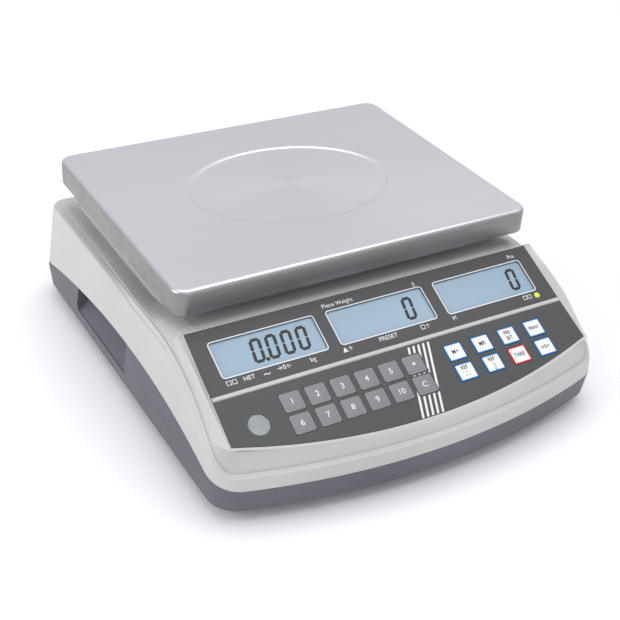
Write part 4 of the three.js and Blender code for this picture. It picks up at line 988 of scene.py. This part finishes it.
# The lamp's cast epoxy lens: a yellow green that glows a little.
lamp_lens = clear_plastic(
    "lamp_lens_epoxy", "CFDD4A", "BFCC3C", 0.25, 0.8,
    emission_color=linear("C8E52A"), emission_strength=0.12,
)
dress("level_window", clear_acrylic)
dress("level_vial", level_fluid)
dress("status_lamp", lamp_lens)


# ---- Weighing pan ----
# A loose tray of 1.2 mm stainless sheet, drawn with rolled edges, turned down all round, with a
# shallow ring embossed in its middle. It is brushed across its width and lifts off its four pads.
PAN_SHEET = 1.2 * MM
PAN_CORNER = 11 * MM
PAN_FOLD = 3.2 * MM
RING_RADIUS = 83 * MM
RING_SQUEEZE = 0.76
RING_RUN = 2.2 * MM
RING_DROP = 0.95 * MM
RING_SIDES = 96
RING_PROFILE = ((2.0, 0), (0.5, 0.2), (0.5, 0.6), (0.5, 0.2), (2.0, 0))
pan_low, pan_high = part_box("weighing_pan")
pan_middle = (pan_low + pan_high) / 2
half_pan = (pan_high.z - pan_low.z) / 2
pan = bmesh.new()
add_block(pan, pan_low, pan_high)
upright = [edge for edge in pan.edges if abs(edge.verts[0].co.z - edge.verts[1].co.z) > half_pan]
bmesh.ops.bevel(
    pan, geom=upright, affect="EDGES", offset=PAN_CORNER, segments=10, profile=0.5, material=-1,
)
bottom = [face for face in pan.faces if face.normal.z < -0.9]
bmesh.ops.delete(pan, geom=bottom, context="FACES_ONLY")
fold_foot = pan_high.z - PAN_FOLD
fold = [edge for edge in pan.edges if min(vertex.co.z for vertex in edge.verts) > fold_foot]
bmesh.ops.bevel(
    pan, geom=fold, affect="EDGES", offset=PAN_FOLD, segments=6, profile=0.5, material=-1,
)
top = max(pan.faces, key=lambda face: face.calc_area() if face.normal.z > 0.9 else 0)
bmesh.ops.inset_region(pan, faces=[top], thickness=PAN_FOLD)
rim_edges = list(top.edges)
bmesh.ops.delete(pan, geom=[top], context="FACES_ONLY")
circle = bmesh.ops.create_circle(
    pan, cap_ends=False, segments=RING_SIDES, radius=RING_RADIUS + 2 * RING_RUN,
)["verts"]
bmesh.ops.scale(pan, verts=circle, vec=(1, RING_SQUEEZE, 1))
bmesh.ops.translate(pan, verts=circle, vec=(pan_middle.x, pan_middle.y, pan_high.z))
circle_edges = list({edge for vertex in circle for edge in vertex.link_edges})
bmesh.ops.triangle_fill(pan, edges=rim_edges + circle_edges, use_beauty=True, normal=(0, 0, 1))
centre = pan.faces.new(circle)
centre.normal_update()
if centre.normal.z < 0:
    centre.normal_flip()
for run, drop in RING_PROFILE:
    bmesh.ops.inset_region(pan, faces=[centre], thickness=run * RING_RUN, depth=-drop * RING_DROP)
bmesh.ops.recalc_face_normals(pan, faces=pan.faces[:])
if sum(face.normal.z * face.calc_area() for face in pan.faces) < 0:
    bmesh.ops.reverse_faces(pan, faces=pan.faces[:])


BRUSH_MM = 1.1
ROLLING_MM = 9
BRUSH_STRETCH = (0.03, 1, 1)


def brushed_stainless():
    """Stainless sheet, brushed across the pan.

    A cool, pale top with fine lines, and walls given a darker colour as painted shade, since they see
    less of the room. The lines are drawn at 1.1 mm, coarser than the real 0.1 mm, so that they show.
    """
    material, tree, shader = new_material("stainless_steel_brushed", metallic=1.0, anisotropic=0.3)
    place = add_node(tree, "ShaderNodeTexCoord").outputs["Object"]
    mapping = add_node(tree, "ShaderNodeMapping", {"Vector": place, "Scale": BRUSH_STRETCH})
    drawn = mapping.outputs["Vector"]
    brushing = add_node(
        tree, "ShaderNodeTexNoise", {"Vector": drawn, "Scale": 1 / (BRUSH_MM * MM), "Detail": 4.0},
    ).outputs["Fac"]
    rolling = add_node(
        tree, "ShaderNodeTexNoise", {"Vector": drawn, "Scale": 1 / (ROLLING_MM * MM), "Detail": 2.0},
    ).outputs["Fac"]
    face = add_node(tree, "ShaderNodeNewGeometry")
    parted = add_node(tree, "ShaderNodeSeparateXYZ", {"Vector": face.outputs["Normal"]})
    # Painted shade: faces that turn away from the top get a darker copy of the steel's colour, since the
    # walls see less of the room.
    unshaded_share = add_node(
        tree, "ShaderNodeMapRange",
        {"Value": parted.outputs["Z"], "From Min": 0.25, "From Max": 0.95},
    )
    # The walls' darker colour is painted shade; the top keeps the steel's own pale tone.
    painted_wall_shade = add_node(
        tree, "ShaderNodeMix",
        {"Factor": rolling, "A": linear("7B7877"), "B": linear("A09D9B")},
        data_type="RGBA",
    ).outputs["Result"]
    top_tint = add_node(
        tree, "ShaderNodeMix",
        {"Factor": rolling, "A": linear("D8D8DC"), "B": linear("DDDDE1")},
        data_type="RGBA",
    ).outputs["Result"]
    tint = add_node(
        tree, "ShaderNodeMix",
        {"Factor": unshaded_share.outputs["Result"], "A": painted_wall_shade, "B": top_tint},
        data_type="RGBA",
    )
    gloss = add_node(
        tree, "ShaderNodeMapRange",
        {"Value": brushing, "From Min": 0.3, "From Max": 0.7, "To Min": 0.3, "To Max": 0.34},
    )
    bump = add_node(
        tree, "ShaderNodeBump", {"Height": brushing, "Distance": 0.004 * MM, "Strength": 0.2},
    )
    tree.links.new(tint.outputs["Result"], shader.inputs["Base Color"])
    tree.links.new(gloss.outputs["Result"], shader.inputs["Roughness"])
    tree.links.new(bump.outputs["Normal"], shader.inputs["Normal"])
    return material


pan_piece = finished(
    "pan_tray", pan, brushed_stainless(), "pan", replaced=("weighing_pan",),
)
sheet = pan_piece.modifiers.new("sheet", "SOLIDIFY")
sheet.thickness = PAN_SHEET
sheet.offset = -1
even = pan_piece.modifiers.new("even", "WEIGHTED_NORMAL")
even.keep_sharp = True


# ---- Floor and light ----
# A plain pale floor in a bright room, a soft light from the left, a weak one from the front and a
# wide one overhead.
FLOOR_HALF = 4
floor_shape = bmesh.new()
bmesh.ops.create_grid(floor_shape, x_segments=1, y_segments=1, size=FLOOR_HALF)
floor_surface = bpy.data.meshes.new("floor")
floor_shape.to_mesh(floor_surface)
floor_shape.free()
floor = bpy.data.objects.new("floor", floor_surface)
bpy.context.scene.collection.objects.link(floor)
# White backdrop paper: matt, with the faintest clouding.
floor_paper, floor_tree, floor_shader = new_material("floor_white_paper", roughness=0.9)
floor_place = add_node(floor_tree, "ShaderNodeTexCoord").outputs["Object"]
fibres = add_node(floor_tree, "ShaderNodeTexNoise", {"Vector": floor_place, "Scale": 3.0})
paper = add_node(
    floor_tree, "ShaderNodeMix",
    {"Factor": fibres.outputs["Fac"], "A": linear("F6F6F7"), "B": linear("F9F9FA")},
    data_type="RGBA",
)
floor_tree.links.new(paper.outputs["Result"], floor_shader.inputs["Base Color"])
floor_surface.materials.append(floor_paper)

bpy.context.scene.view_settings.view_transform = "Standard"
world = bpy.data.worlds.new("studio")
bpy.context.scene.world = world
world.use_nodes = True
backdrop = world.node_tree.nodes["Background"]
backdrop.inputs["Color"].default_value = linear("F2F4F8")
backdrop.inputs["Strength"].default_value = 0.85
LIT_POINT = Vector((0, 0, 0.06))
for name, place, size, power, shine in (
    ("left", (-2.0, 0.2, 1.0), 1.4, 15, 0.15),
    ("front", (-0.3, -2.2, 0.8), 1.4, 2.5, 1.0),
    ("overhead", (0.3, 0.1, 1.9), 1.8, 16, 0.6),
):
    light_data = bpy.data.lights.new(name, "AREA")
    light_data.energy = power
    light_data.size = size
    light_data.specular_factor = shine
    light = bpy.data.objects.new(name, light_data)
    bpy.context.scene.collection.objects.link(light)
    light.location = place
    aim = LIT_POINT - Vector(place)
    light.rotation_euler = aim.to_track_quat("-Z", "Y").to_euler()
